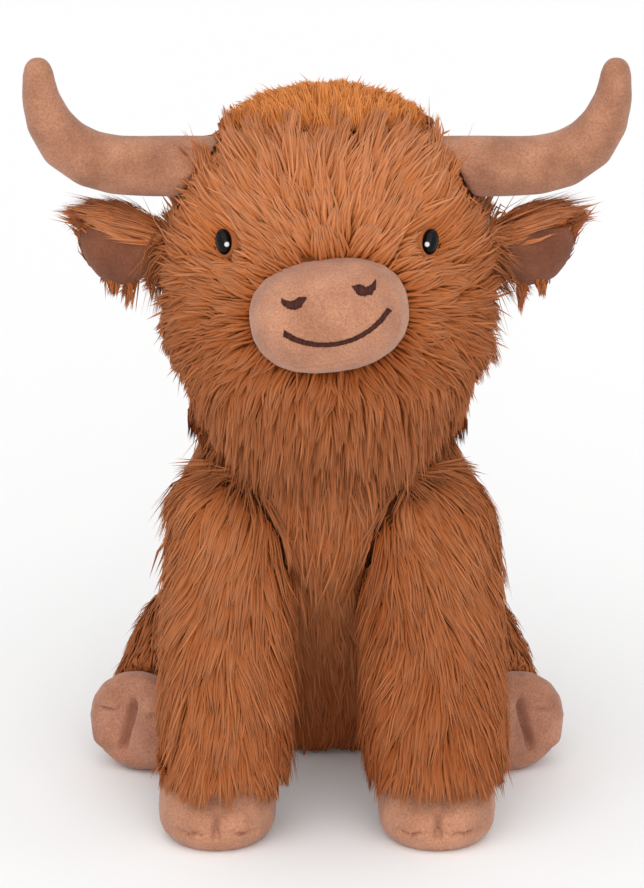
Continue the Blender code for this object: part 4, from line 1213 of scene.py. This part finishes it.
@dataclass
class EarPile(Coat):
    """An ear's pile, which sweeps out to a point and hangs in wisps from the lower edge.

    Each wisp is given by how far out and how high its tip hangs, and by its half width.
    """

    side: Side = Side.LEFT
    tint: float = 0.62
    tip: Triple = (0.1370, -0.005, 0.2985)
    wisps: tuple[Triple, ...] = ((0.1060, 0.2535, 0.0048), (0.0955, 0.2460, 0.0034), (0.0860, 0.2520, 0.0026))
    wisp_y: float = -0.009
    wisp_reach: float = 0.012
    wisp_roots: float = 0.006
    wisp_tint: float = 0.16
    lining_top: float = 0.2800
    lining_rise: float = 0.006
    lining_places: Triple = (0.085, 0.105, 0.121)
    lining_start: float = 0.078
    front_slope: float = 0.25
    near: Rise = Rise(0.100, 0.075)
    near_sweep: Triple = (0.6, 0, 0.10)
    hug_share: float = 0.4
    behind_drop: float = 0.012
    behind: Rise = Rise(0.0, 0.015)
    behind_shorter: float = 0.55
    least_share: float = 0.55
    share_power: float = 1.5
    shortest: float = 0.006
    inner_end: float = 0.080
    inner_above: float = 0.003
    inner_reach: float = 0.088
    inner_least: float = 0.005
    root: Rise = Rise(0.090, 0.070)
    root_puff: float = 0.30

    def hanging(self, roots: np.ndarray) -> tuple[np.ndarray, np.ndarray]:
        """Say which roots belong to the wisps, and where each wisp's tip hangs."""
        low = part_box(self.node)[0]
        out = roots[:, 0] * self.side.value
        outs, heights, halves = np.array(self.wisps).T
        mine = np.argmin(abs(out[:, None] - outs), axis=1)
        ends = np.stack([self.side.value * outs, np.full(len(outs), self.wisp_y), heights], axis=1)
        return (abs(out - outs[mine]) < halves[mine]) & (roots[:, 2] < low.z + self.wisp_reach), ends[mine]

    def grows(self, roots: np.ndarray, normals: np.ndarray) -> np.ndarray:
        """Leave the lining's place, and most of the lower rim, bare."""
        out = roots[:, 0] * self.side.value
        hangs, _ = self.hanging(roots)
        rim = self.lining_top + np.interp(out, self.lining_places, (0, 0, self.lining_rise))
        front = (normals[:, 1] < self.front_slope) & (roots[:, 2] < rim) & (out > self.lining_start)
        return ~front | (hangs & (roots[:, 2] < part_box(self.node)[0].z + self.wisp_roots))

    def lay(self, roots: np.ndarray, normals: np.ndarray) -> Lay:
        """Sweep the upper pile out to the ear's tip, and draw the lower edge's into wisps."""
        mirror = np.array((self.side.value, 1, 1))
        out = roots[:, 0] * self.side.value
        hangs, ends = self.hanging(roots)
        way, drop = mirror * self.tip - roots, ends - roots
        sweep = unit(way) + mirror * self.near_sweep * self.near(out)[:, None]
        swept = along_surface(sweep, normals) * self.hug_share + unit(sweep) * (1 - self.hug_share)
        behind = self.behind(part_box(self.node)[1].z - self.behind_drop - roots[:, 2])
        rng = np.random.default_rng(self.seed + 1)
        share = self.least_share + (1 - self.least_share) * rng.random(len(roots)) ** self.share_power
        length = np.clip(np.linalg.norm(way, axis=1) * share, self.shortest, self.length)
        length *= 1 - self.behind_shorter * behind
        inner = (normals[:, 1] < self.front_slope) & (roots[:, 2] < self.lining_top + self.inner_above)
        room = np.maximum(self.inner_reach - out, self.inner_least)
        length = np.where(inner & (out < self.inner_end), np.minimum(length, room), length)
        return Lay(unit(np.where(hangs[:, None], unit(drop), swept)),
                   np.where(hangs, np.linalg.norm(drop, axis=1), length), self.crest,
                   self.tint - self.wisp_tint * hangs, self.root_puff * self.root(out))


@dataclass
class CrownPile(Coat):
    """The fluffier tuft on the crown, brushed up and back from the forehead."""

    tint: float = 0.53
    bare_slope: float = -0.30
    bare_front: float = 0.012
    spread: float = 0.9
    spread_width: float = 0.055
    back: Rise = Rise(-0.020, 0.030)
    back_least: float = 0.30
    back_fall: float = 1.6
    # Darker along the crown's lower edge, under the forehead's pile: painted shade
    low_edge: Rise = Rise(0.345, 0.333)
    low_edge_painted_shade: float = 0.42

    def grows(self, roots: np.ndarray, normals: np.ndarray) -> np.ndarray:
        """Leave the lower edge that the forehead's pile covers bare."""
        return (normals[:, 2] > self.bare_slope) | (roots[:, 1] > self.bare_front)

    def lay(self, roots: np.ndarray, normals: np.ndarray) -> Lay:
        """Brush the pile up, back over the top and out at the sides."""
        out = (roots[:, 0] - centre_of(self.node)[0]) / self.spread_width
        back = self.back(roots[:, 1])
        flow = np.stack([out * self.spread, self.back_least + back, 1.0 - self.back_fall * back], axis=1)
        # Painted shade along the crown's lower edge
        return Lay(along_surface(flow, normals), self.length, self.crest,
                   self.tint - self.low_edge_painted_shade * self.low_edge(roots[:, 2]), 0.0)


@dataclass
class StuffedForm:
    """A sewn and stuffed piece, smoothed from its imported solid."""

    node: str
    body: str
    finish: VelourFinish
    voxel: float = 0.0015
    smoothing: int = 10
    smooth_share: float = 0.5
    fill: float = 0.85

    def build(self) -> bpy.types.Object:
        """Build the piece.

        Returns:
            The object, which stands for its node.
        """
        shell = self.remeshed(Skin(self.source()).closed())
        for _ in range(self.smoothing):
            bmesh.ops.smooth_vert(shell, verts=shell.verts, factor=self.smooth_share,
                                  use_axis_x=True, use_axis_y=True, use_axis_z=True)
        shell.normal_update()
        self.shape(shell)
        piece = new_piece(f"{self.node}_form", shell, self.finish, self.body)
        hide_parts(self.node)
        log.info("%s: %d faces", piece.name, len(piece.data.polygons))
        return piece

    def source(self) -> str:
        """The node whose shape the piece takes."""
        return self.node

    def remeshed(self, bm: bmesh.types.BMesh) -> bmesh.types.BMesh:
        """Return the form as an even net of small faces."""
        mesh = bpy.data.meshes.new("form")
        bm.to_mesh(mesh)
        bm.free()
        rough = placed("form", mesh)
        step = rough.modifiers.new("net", "REMESH")
        step.mode = "VOXEL"
        step.voxel_size = self.voxel
        graph = bpy.context.evaluated_depsgraph_get()
        even = bpy.data.meshes.new_from_object(rough.evaluated_get(graph))
        bpy.data.objects.remove(rough, do_unlink=True)
        made = bmesh.new()
        made.from_mesh(even)
        bpy.data.meshes.remove(even)
        return made

    def shape(self, bm: bmesh.types.BMesh) -> None:
        """Shape the piece's own folds; a plain form has none."""

    @staticmethod
    def press(bm: bmesh.types.BMesh, depths: np.ndarray) -> None:
        """Press each point of a form inwards along its normal."""
        moves = [vert.normal * float(depth) for vert, depth in zip(bm.verts, depths)]
        for vert, move in zip(bm.verts, moves):
            vert.co -= move
        bm.normal_update()


@dataclass
class Hoof(StuffedForm):
    """A stuffed velour hoof with a sewn cleft, and puckers beside it."""

    toe: Triple = (0.0, -1.0, 0.0)
    facing: Rise = Rise(0.05, 0.55)
    cleft_depth: float = 0.0046
    cleft_width: float = 0.0016
    cleft_low: float = -0.0070
    cleft_high: float = 0.0040
    low_fade: Pair = (-0.004, 0.003)
    high_fade: Pair = (0.005, -0.004)
    lobe_swell: float = 0.0018
    lobe_out: float = 0.012
    lobe_width: float = 0.007
    valley: float = 0.0030
    valley_width: float = 0.0035
    valley_wider: float = 0.006
    valley_fade: Pair = (-0.006, 0.008)
    bend: float = 0.0
    bend_length: float = 0.009
    pucker_place: float = -0.0058
    pucker_depth: float = 0.0030
    pucker_out: float = 0.013
    pucker_width: float = 0.0065
    pucker_height: float = 0.0011
    waver: float = 0.0018
    waver_scale: float = 260.0
    fine: float = 1.2
    fine_scale: float = 620.0
    fold_count: float = 11
    fold_waver: float = 3
    fold_core: float = 0.001
    fold_depth: float = 0.00035
    fold_width: float = 0.011
    fold_height: float = 0.010

    def shape(self, bm: bmesh.types.BMesh) -> None:
        """Press the cleft between the two toes and gather the cloth beside it."""
        points, normals = points_and_normals(bm)
        toe, rise = np.array(self.toe), np.array(Z)
        local = points - (points.max(axis=0) + points.min(axis=0)) / 2
        tall = local @ rise
        wide = local @ np.cross(toe, rise) - self.bend * np.sin(tall / self.bend_length)
        out, facing = abs(wide), self.facing(normals @ toe)
        span = Rise(*(self.cleft_low + place for place in self.low_fade))(tall)
        span *= Rise(*(self.cleft_high + place for place in self.high_fade))(tall)
        above = Rise(*(self.cleft_high + place for place in self.valley_fade))(tall)
        depths = self.cleft_depth * ridge(wide, self.cleft_width) * span
        depths -= self.lobe_swell * ridge(out - self.lobe_out, self.lobe_width) * span
        depths += self.valley * ridge(wide, self.valley_width + self.valley_wider * above) * above
        waver = noise_at(points, self.waver_scale)
        tall = tall - self.pucker_place
        gather = ridge(out - self.pucker_out, self.pucker_width)
        gather *= ridge(tall + self.waver * waver, self.pucker_height)
        depths += self.pucker_depth * gather * (1 + self.fine * noise_at(points, self.fine_scale))
        folds = np.sin(np.arctan2(tall, out + self.fold_core) * self.fold_count + waver * self.fold_waver)
        depths += self.fold_depth * folds * ridge(wide, self.fold_width) * ridge(tall, self.fold_height)
        self.press(bm, depths * facing)


@dataclass
class Muzzle(StuffedForm):
    """The stuffed velour muzzle, with a faint crease below the smile."""

    facing: Rise = Rise(-0.1, -0.6)
    crease_ends: tuple[Pair, Pair] = ((-0.022, -0.021), (0.018, -0.0135))
    crease_sag: float = 0.0012
    crease_depth: float = 0.0014
    crease_width: float = 0.0009
    crease_start: Rise = Rise(0.0, 0.2)
    crease_stop: Rise = Rise(1.0, 0.8)
    uneven: float = 0.0006
    uneven_scale: float = 70.0
    rim: Rise = Rise(-0.012, -0.003)
    rim_swell: float = 0.0012
    sunk_back: float = 0.0040

    def shape(self, bm: bmesh.types.BMesh) -> None:
        """Press the crease and the soft unevenness of the stuffing, and seat the rim in the head."""
        points, normals = points_and_normals(bm)
        middle = centre_of(self.node)
        (left, left_rise), (right, right_rise) = self.crease_ends
        along = (points[:, 0] - middle[0] - left) / (right - left)
        line = left_rise + (right_rise - left_rise) * along - self.crease_sag * np.sin(along * math.pi)
        span = self.crease_start(along) * self.crease_stop(along)
        depths = self.crease_depth * ridge(points[:, 2] - middle[2] - line, self.crease_width) * span
        depths += self.uneven * noise_at(points, self.uneven_scale)
        behind = self.rim(points[:, 1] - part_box(self.node)[1].y)
        self.press(bm, depths * self.facing(normals[:, 1]) - self.rim_swell * behind)
        for vert, share in zip(bm.verts, behind):
            vert.co.y += self.sunk_back * float(share)


@dataclass
class EarLining(StuffedForm):
    """The velour inside of an ear: a sheet over the ear's front, which runs in under its pile."""

    side: Side = Side.LEFT
    inner_end: float = 0.078
    top: float = 0.2885
    back_slope: float = 0.2
    raised: float = 0.0007
    thickness: float = 0.0008

    def source(self) -> str:
        """The lining takes the ear's own shape."""
        return f"ear_{self.side.label}"

    def shape(self, bm: bmesh.types.BMesh) -> None:
        """Keep the ear's front below the pile, and give it a thickness."""
        spare = []
        for face in bm.faces:
            place = face.calc_center_median()
            hidden = place.x * self.side.value < self.inner_end or place.z > self.top
            if hidden or face.normal.y > self.back_slope:
                spare.append(face)
        bmesh.ops.delete(bm, geom=spare, context="FACES")
        bm.normal_update()
        self.press(bm, np.full(len(bm.verts), -self.raised))
        bmesh.ops.solidify(bm, geom=bm.faces[:], thickness=self.thickness)
        bmesh.ops.recalc_face_normals(bm, faces=bm.faces)


@dataclass
class Embroidery:
    """A stitched patch on the muzzle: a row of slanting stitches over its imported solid.

    The upper and lower profiles say how far the patch's edges lie from the solid's, from end to end.
    """

    node: str
    cloth: BVHTree
    body: str = "head"
    finish: PileFinish = BROWN_THREAD
    spacing: float = 0.00042
    slant: float = 0.0006
    half_width: float = 0.00034
    flatness: float = 0.8
    raised: float = 0.0004
    sunk_share: float = 0.3
    ragged: float = 0.0
    lower_ragged: Pair = (0.2, 1.0)
    upper_ragged: Pair = (0.0, 0.3)
    width_range: Pair = (0.85, 1.15)
    tint_range: Pair = (0.2, 0.9)
    begin: float = 0.0
    move: Pair = (0.0, 0.0)
    upper: tuple[float, ...] = (0.0,)
    lower: tuple[float, ...] = (0.0,)
    rays: int = 60
    ray_start: float = 0.02
    seed: int = 5

    def columns(self) -> list[tuple[Vector, Vector]]:
        """Return the lowest and the highest point of the solid's face at each stitch's place."""
        tree = BVHTree.FromBMesh(merged_copy(self.node))
        low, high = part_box(self.node)
        ends = []
        for across in np.arange(low.x + self.begin + self.spacing, high.x, self.spacing):
            found = [tree.ray_cast(Vector((across, low.y - self.ray_start, rise)), Y)[0]
                     for rise in np.linspace(low.z, high.z, self.rays)]
            found = [hit for hit in found if hit is not None]
            if len(found) > 1:
                ends.append((found[0], found[-1]))
        return ends

    def build(self) -> bpy.types.Object:
        """Build the stitches.

        Returns:
            The object, which stands for its node.
        """
        rng = np.random.default_rng(self.seed)
        ends = self.columns()
        count = len(ends)
        start_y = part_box(self.node)[0].y - self.ray_start
        curves = []
        for share, (bottom, top) in zip(np.linspace(0, 1, count), ends):
            above, under = (np.interp(share, np.linspace(0, 1, len(edge)), edge)
                            for edge in (self.upper, self.lower))
            under -= rng.uniform(*self.lower_ragged) * self.ragged
            above += rng.uniform(*self.upper_ragged) * self.ragged
            start = np.array(bottom) + (self.move[0], 0, self.move[1] + under)
            stop = np.array(top) + (self.move[0] + self.slant, 0, self.move[1] + above)
            line = start + (stop - start) * STITCH.places[:, None]
            for point in line:
                below = self.cloth.ray_cast(Vector((point[0], start_y, point[2])), Y)[0]
                point[1] = point[1] if below is None else below.y
            line[:, 1] -= self.raised * (self.sunk_share + np.sin(STITCH.places * math.pi))
            curves.append(line)
        mesh = STITCH.lay(f"{self.node}_stitches", np.array(curves), np.tile(-np.array(Y), (count, 1)),
                          self.half_width * rng.uniform(*self.width_range, count), self.flatness,
                          rng.uniform(*self.tint_range, count))
        piece = carried(placed(mesh.name, mesh), self.finish, self.body)
        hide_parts(self.node)
        log.info("%s: %d stitches", piece.name, count)
        return piece


@dataclass
class Eye:
    """A glossy oval safety eye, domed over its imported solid."""

    side: Side
    body: str = "head"
    half_width: float = 0.0045
    half_height: float = 0.0070
    dome: float = 0.0056
    lean: float = math.radians(14)
    front_slope: float = -0.35
    segments: int = 40
    rings: int = 24
    # Where the painted highlight sits on the dome: across, up and out
    glint: Triple = (-0.16, 0.10, 0.95)

    def build(self) -> bpy.types.Object:
        """Build the eye.

        Returns:
            The object, which stands for its node.
        """
        node = f"eye_{self.side.label}"
        packed = merged_copy(node)
        forward = Vector()
        for face in packed.faces:
            if face.normal.y < self.front_slope:
                forward += face.normal * face.calc_area()
        forward.normalize()
        up = (Z - forward * forward.z).normalized()
        apex = max(vert.co.dot(forward) for vert in packed.verts)
        front = [vert.co for vert in packed.verts if vert.co.dot(forward) > apex - self.dome]
        centre = sum(front, Vector()) / len(front)
        centre += forward * (apex - self.dome - centre.dot(forward))
        turn = Matrix.Rotation(-self.side.value * self.lean, 3, forward)
        place = Matrix((turn @ up.cross(forward) * self.half_width, turn @ up * self.half_height,
                        forward * self.dome)).transposed().to_4x4()
        place.translation = centre
        bm = bmesh.new()
        bmesh.ops.create_uvsphere(bm, u_segments=self.segments, v_segments=self.rings, radius=1.0)
        bmesh.ops.transform(bm, matrix=place, verts=bm.verts)
        bmesh.ops.recalc_face_normals(bm, faces=bm.faces)
        # The painted highlight's place, handed to the eye's material
        painted_highlight_place = place @ Vector((self.glint[0] * self.side.value, *self.glint[1:])).normalized()
        finish = EyeFinish(f"eye_gloss_{self.side.label}", Slot.GLOSS, tuple(painted_highlight_place))
        piece = new_piece(f"{node}_dome", bm, finish, self.body)
        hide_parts(node)
        return piece


@dataclass
class Head:
    """The head: its coat, crown, muzzle, horns, eyes and ears."""

    body: str = "head"
    nostril_upper: tuple[float, ...] = (-0.0010, -0.0002, 0.0002, -0.0006, -0.0014, -0.0016, -0.0012)
    nostril_lower: tuple[float, ...] = (0.0010, 0.0002, 0.0, 0.0, 0.0, -0.0008, -0.0016)
    nostril_moves: tuple[Pair, Pair] = ((0.0008, -0.0014), (0.0030, -0.0028))

    def build(self) -> list[bpy.types.Object]:
        """Build the head's pieces.

        Returns:
            The pieces.
        """
        pieces = HeadCoat("head", self.body, RUST_PILE, RUST_BACKING, per_area=520000.0, length=0.034,
                          stray=0.12, swirl=0.36, tuft_pull=0.66, open_share=0.09, seed=11,
                          sewn_sides=60, fall=0.30, half_width=0.00072, cover=0.0006,
                          clear_of=("horn_left", "horn_right", "ear_left", "ear_right", "torso")).build()
        pieces += CrownPile("crown_tuft", self.body, CROWN_PILE, CROWN_BACKING, per_area=1000000.0,
                            length=0.015, crest=-0.0015, half_width=0.00040, depth=0.0025,
                            open_share=0.26, stray=0.12, tuft_size=12, tuft_pull=0.5,
                            wild_share=0.06, cover=0.0005, seed=12).build()
        muzzle = Muzzle("muzzle", self.body, TAN_VELOUR, voxel=0.0010).build()
        felt = bmesh.new()
        felt.from_mesh(muzzle.data)
        cloth = BVHTree.FromBMesh(felt)
        felt.free()
        pieces.append(muzzle)
        pieces.append(Embroidery("mouth", cloth, ragged=0.0003, begin=0.0055, move=(0.0008, -0.0006)).build())
        for side, nostril_move in zip(Side, self.nostril_moves):
            inward = slice(None, None, side.value)
            pieces.append(Embroidery(f"nostril_{side.label}", cloth, ragged=0.0008, slant=0.0003,
                                     move=nostril_move, upper=self.nostril_upper[inward],
                                     lower=self.nostril_lower[inward]).build())
            pieces.append(StuffedForm(f"horn_{side.label}", self.body, HORN_VELOUR).build())
            pieces.append(Eye(side).build())
            ear = f"ear_{side.label}"
            pieces += EarPile(ear, ear, RUST_PILE, RUST_BACKING, per_area=1100000.0, length=0.032,
                              depth=0.003, seed=13, side=side, half_width=0.00048, open_share=0.03,
                              stray=0.05, swirl=0.10, tuft_pull=0.30, droop=0.0, cling=Rise(0.75, 0.99),
                              wild_share=0.02).build()
            pieces.append(EarLining(f"ear_lining_{side.label}", ear, LINING_VELOUR, voxel=0.0008,
                                    smoothing=6, fill=0.4, side=side).build())
        return pieces


@dataclass
class Body:
    """The torso, the legs and the tail."""

    splay: float = math.radians(27)
    leg_tucks: Pair = (0.0, 0.0060)
    leg_tints: Pair = (0.17, 0.24)
    open_ends: int = 900

    def build(self) -> list[bpy.types.Object]:
        """Build the body's pieces.

        Returns:
            The pieces.
        """
        pieces = TorsoCoat("torso", "torso", RUST_PILE, RUST_BACKING, per_area=370000.0,
                           half_width=0.00074, seed=21, sewn_sides=self.open_ends,
                           clear_of=("front_leg_left", "front_leg_right")).build()
        for side, tuck, tint in zip(Side, self.leg_tucks, self.leg_tints):
            leg, hoof = f"front_leg_{side.label}", f"front_hoof_{side.label}"
            pieces += FrontLegCoat(leg, leg, RUST_PILE, RUST_BACKING, per_area=460000.0, seed=22,
                                   side=side, sewn_sides=self.open_ends, fall=0.7, tuck=tuck, tint=tint,
                                   clear_of=(hoof,)).build()
            pieces.append(Hoof(hoof, leg, TAN_VELOUR, voxel=0.0010, smoothing=12).build())
            leg, hoof = f"hind_leg_{side.label}", f"hind_hoof_{side.label}"
            pieces += HindLegCoat(leg, leg, RUST_PILE, RUST_BACKING, per_area=380000.0, length=0.020,
                                  seed=23, sewn_sides=self.open_ends, clear_of=(hoof,)).build()
            toe = (side.value * math.sin(self.splay), -math.cos(self.splay), 0.0)
            pieces.append(Hoof(hoof, leg, SOLE_VELOUR, voxel=0.0012, toe=toe,
                               cleft_low=-0.012, cleft_high=0.013, cleft_depth=0.0068,
                               cleft_width=0.0019, pucker_place=0.009, lobe_swell=0.0030,
                               bend=side.value * 0.0030, valley=0.0015).build())
        pieces += Coat("tail", "tail", RUST_PILE, RUST_BACKING, per_area=500000.0, length=0.010,
                       crest=0.0, depth=0.0015, seed=24).build()
        pieces += Coat("tail_tuft", "tail", CROWN_PILE, CROWN_BACKING, per_area=700000.0, length=0.020,
                       crest=0.0, depth=0.002, seed=25).build()
        return pieces


@dataclass
class Insides:
    """The pieces held inside and below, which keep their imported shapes."""

    def build(self) -> None:
        """Dress the fillings, the washers, the pellet bag and the base cloth."""
        for name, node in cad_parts.items():
            if "stuffing" in name:
                dress(node, FIBRE)
            elif "washer" in name:
                dress(node, WASHER_NYLON)
        dress(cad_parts["pellet_bag"], BAG_CLOTH)
        dress(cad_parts["seat_panel"], BASE_CLOTH)


@dataclass
class Studio:
    """The pale floor, the soft lights and the camera."""

    elevation: float = math.radians(18)
    distance: float = 2.2
    focal_pixels: float = 4400.0
    frame_width: float = 644.0
    centre_column: float = 327.0
    target: Triple = (0.0, 0.0, 0.174)
    sensor: float = 36.0
    floor_size: float = 6.0
    floor_roughness: float = 0.9
    floor_colour: Colour = (0.90, 0.90, 0.90)
    white: Colour = (1.0, 1.0, 1.0)
    world_strength: float = 0.76

    def build(self) -> None:
        """Build the stage, the world, the lights and the camera."""
        self.floor()
        self.world()
        self.sun("key", (-0.12, -1.0, 1.15), 1.40, 80.0)
        self.light("fill", (0.5, -2.2, 0.75), 5.0, 1.0)
        self.light("glint", (0.0, -2.0, 0.35), 3.0, 0.07)
        self.camera()

    def floor(self) -> None:
        """Lay a wide plain floor that stays white to the camera away from the shadow."""
        bm = bmesh.new()
        bmesh.ops.create_grid(bm, x_segments=1, y_segments=1, size=self.floor_size)
        mesh = bpy.data.meshes.new("floor")
        bm.to_mesh(mesh)
        bm.free()
        floor = placed("floor", mesh)
        made = Shading("floor_plain", self.floor_roughness)
        made.surface.inputs["Base Color"].default_value = (*self.floor_colour, 1)
        mesh.materials.append(made.material)

    def world(self) -> None:
        """Light the scene evenly, and show white to the camera and in reflections."""
        world = bpy.data.worlds.new("studio")
        bpy.context.scene.world = world
        world.use_nodes = True
        tree = world.node_tree
        soft = tree.nodes["Background"]
        soft.inputs["Strength"].default_value = self.world_strength
        white = tree.nodes.new("ShaderNodeBackground")
        path = tree.nodes.new("ShaderNodeLightPath")
        seen = path.outputs["Is Camera Ray"]
        for other in ("Is Glossy Ray", "Is Transmission Ray"):
            either = tree.nodes.new("ShaderNodeMath")
            either.operation = "MAXIMUM"
            tree.links.new(seen, either.inputs[0])
            tree.links.new(path.outputs[other], either.inputs[1])
            seen = either.outputs[0]
        blend = tree.nodes.new("ShaderNodeMixShader")
        tree.links.new(seen, blend.inputs["Fac"])
        tree.links.new(soft.outputs[0], blend.inputs[1])
        tree.links.new(white.outputs[0], blend.inputs[2])
        tree.links.new(blend.outputs[0], tree.nodes["World Output"].inputs["Surface"])
        for background in (soft, white):
            background.inputs["Color"].default_value = (*self.white, 1.0)
        white.inputs["Strength"].default_value = 1.0

    def sun(self, name: str, way: Triple, strength: float, softness: float) -> None:
        """Light the toy and the floor evenly from one side.

        Args:
            name: the light's name.
            way: the direction that the light comes from.
            strength: its strength.
            softness: how wide it looks, in degrees.
        """
        lamp = bpy.data.lights.new(name, "SUN")
        lamp.energy = strength
        lamp.angle = math.radians(softness)
        placed(name, lamp).rotation_euler = Vector(way).to_track_quat("Z", "Y").to_euler()

    def light(self, name: str, place: Triple, power: float, size: float) -> None:
        """Hang a large soft light that looks at the toy.

        Args:
            name: the light's name.
            place: where it hangs.
            power: its watts.
            size: its width.
        """
        lamp = bpy.data.lights.new(name, "AREA")
        lamp.energy = power
        lamp.size = size
        made = placed(name, lamp)
        made.location = place
        made.rotation_euler = (Vector(self.target) - Vector(place)).to_track_quat("-Z", "Y").to_euler()

    def camera(self) -> None:
        """Set the camera at the photograph's angle and framing."""
        lens = bpy.data.cameras.new("camera")
        lens.sensor_fit = "HORIZONTAL"
        lens.sensor_width = self.sensor
        lens.lens = self.focal_pixels / self.frame_width * self.sensor
        lens.shift_x = (self.frame_width / 2 - self.centre_column) / self.frame_width
        made = placed("camera", lens)
        look = Vector((0, math.cos(self.elevation), -math.sin(self.elevation)))
        made.location = Vector(self.target) - look * self.distance
        made.rotation_euler = (math.pi / 2 - self.elevation, 0, 0)
        bpy.context.scene.camera = made
        bpy.context.scene.view_settings.view_transform = "Standard"


def main() -> None:
    """Build the toy and its studio."""
    logging.basicConfig(level=logging.INFO, format="%(message)s")
    pieces = Head().build() + Body().build()
    Insides().build()
    Studio().build()
    triangles = sum(len(face.vertices) - 2 for piece in pieces for face in piece.data.polygons)
    log.info("%d pieces, %d triangles", len(pieces), triangles)


if __name__ == "__main__":
    main()
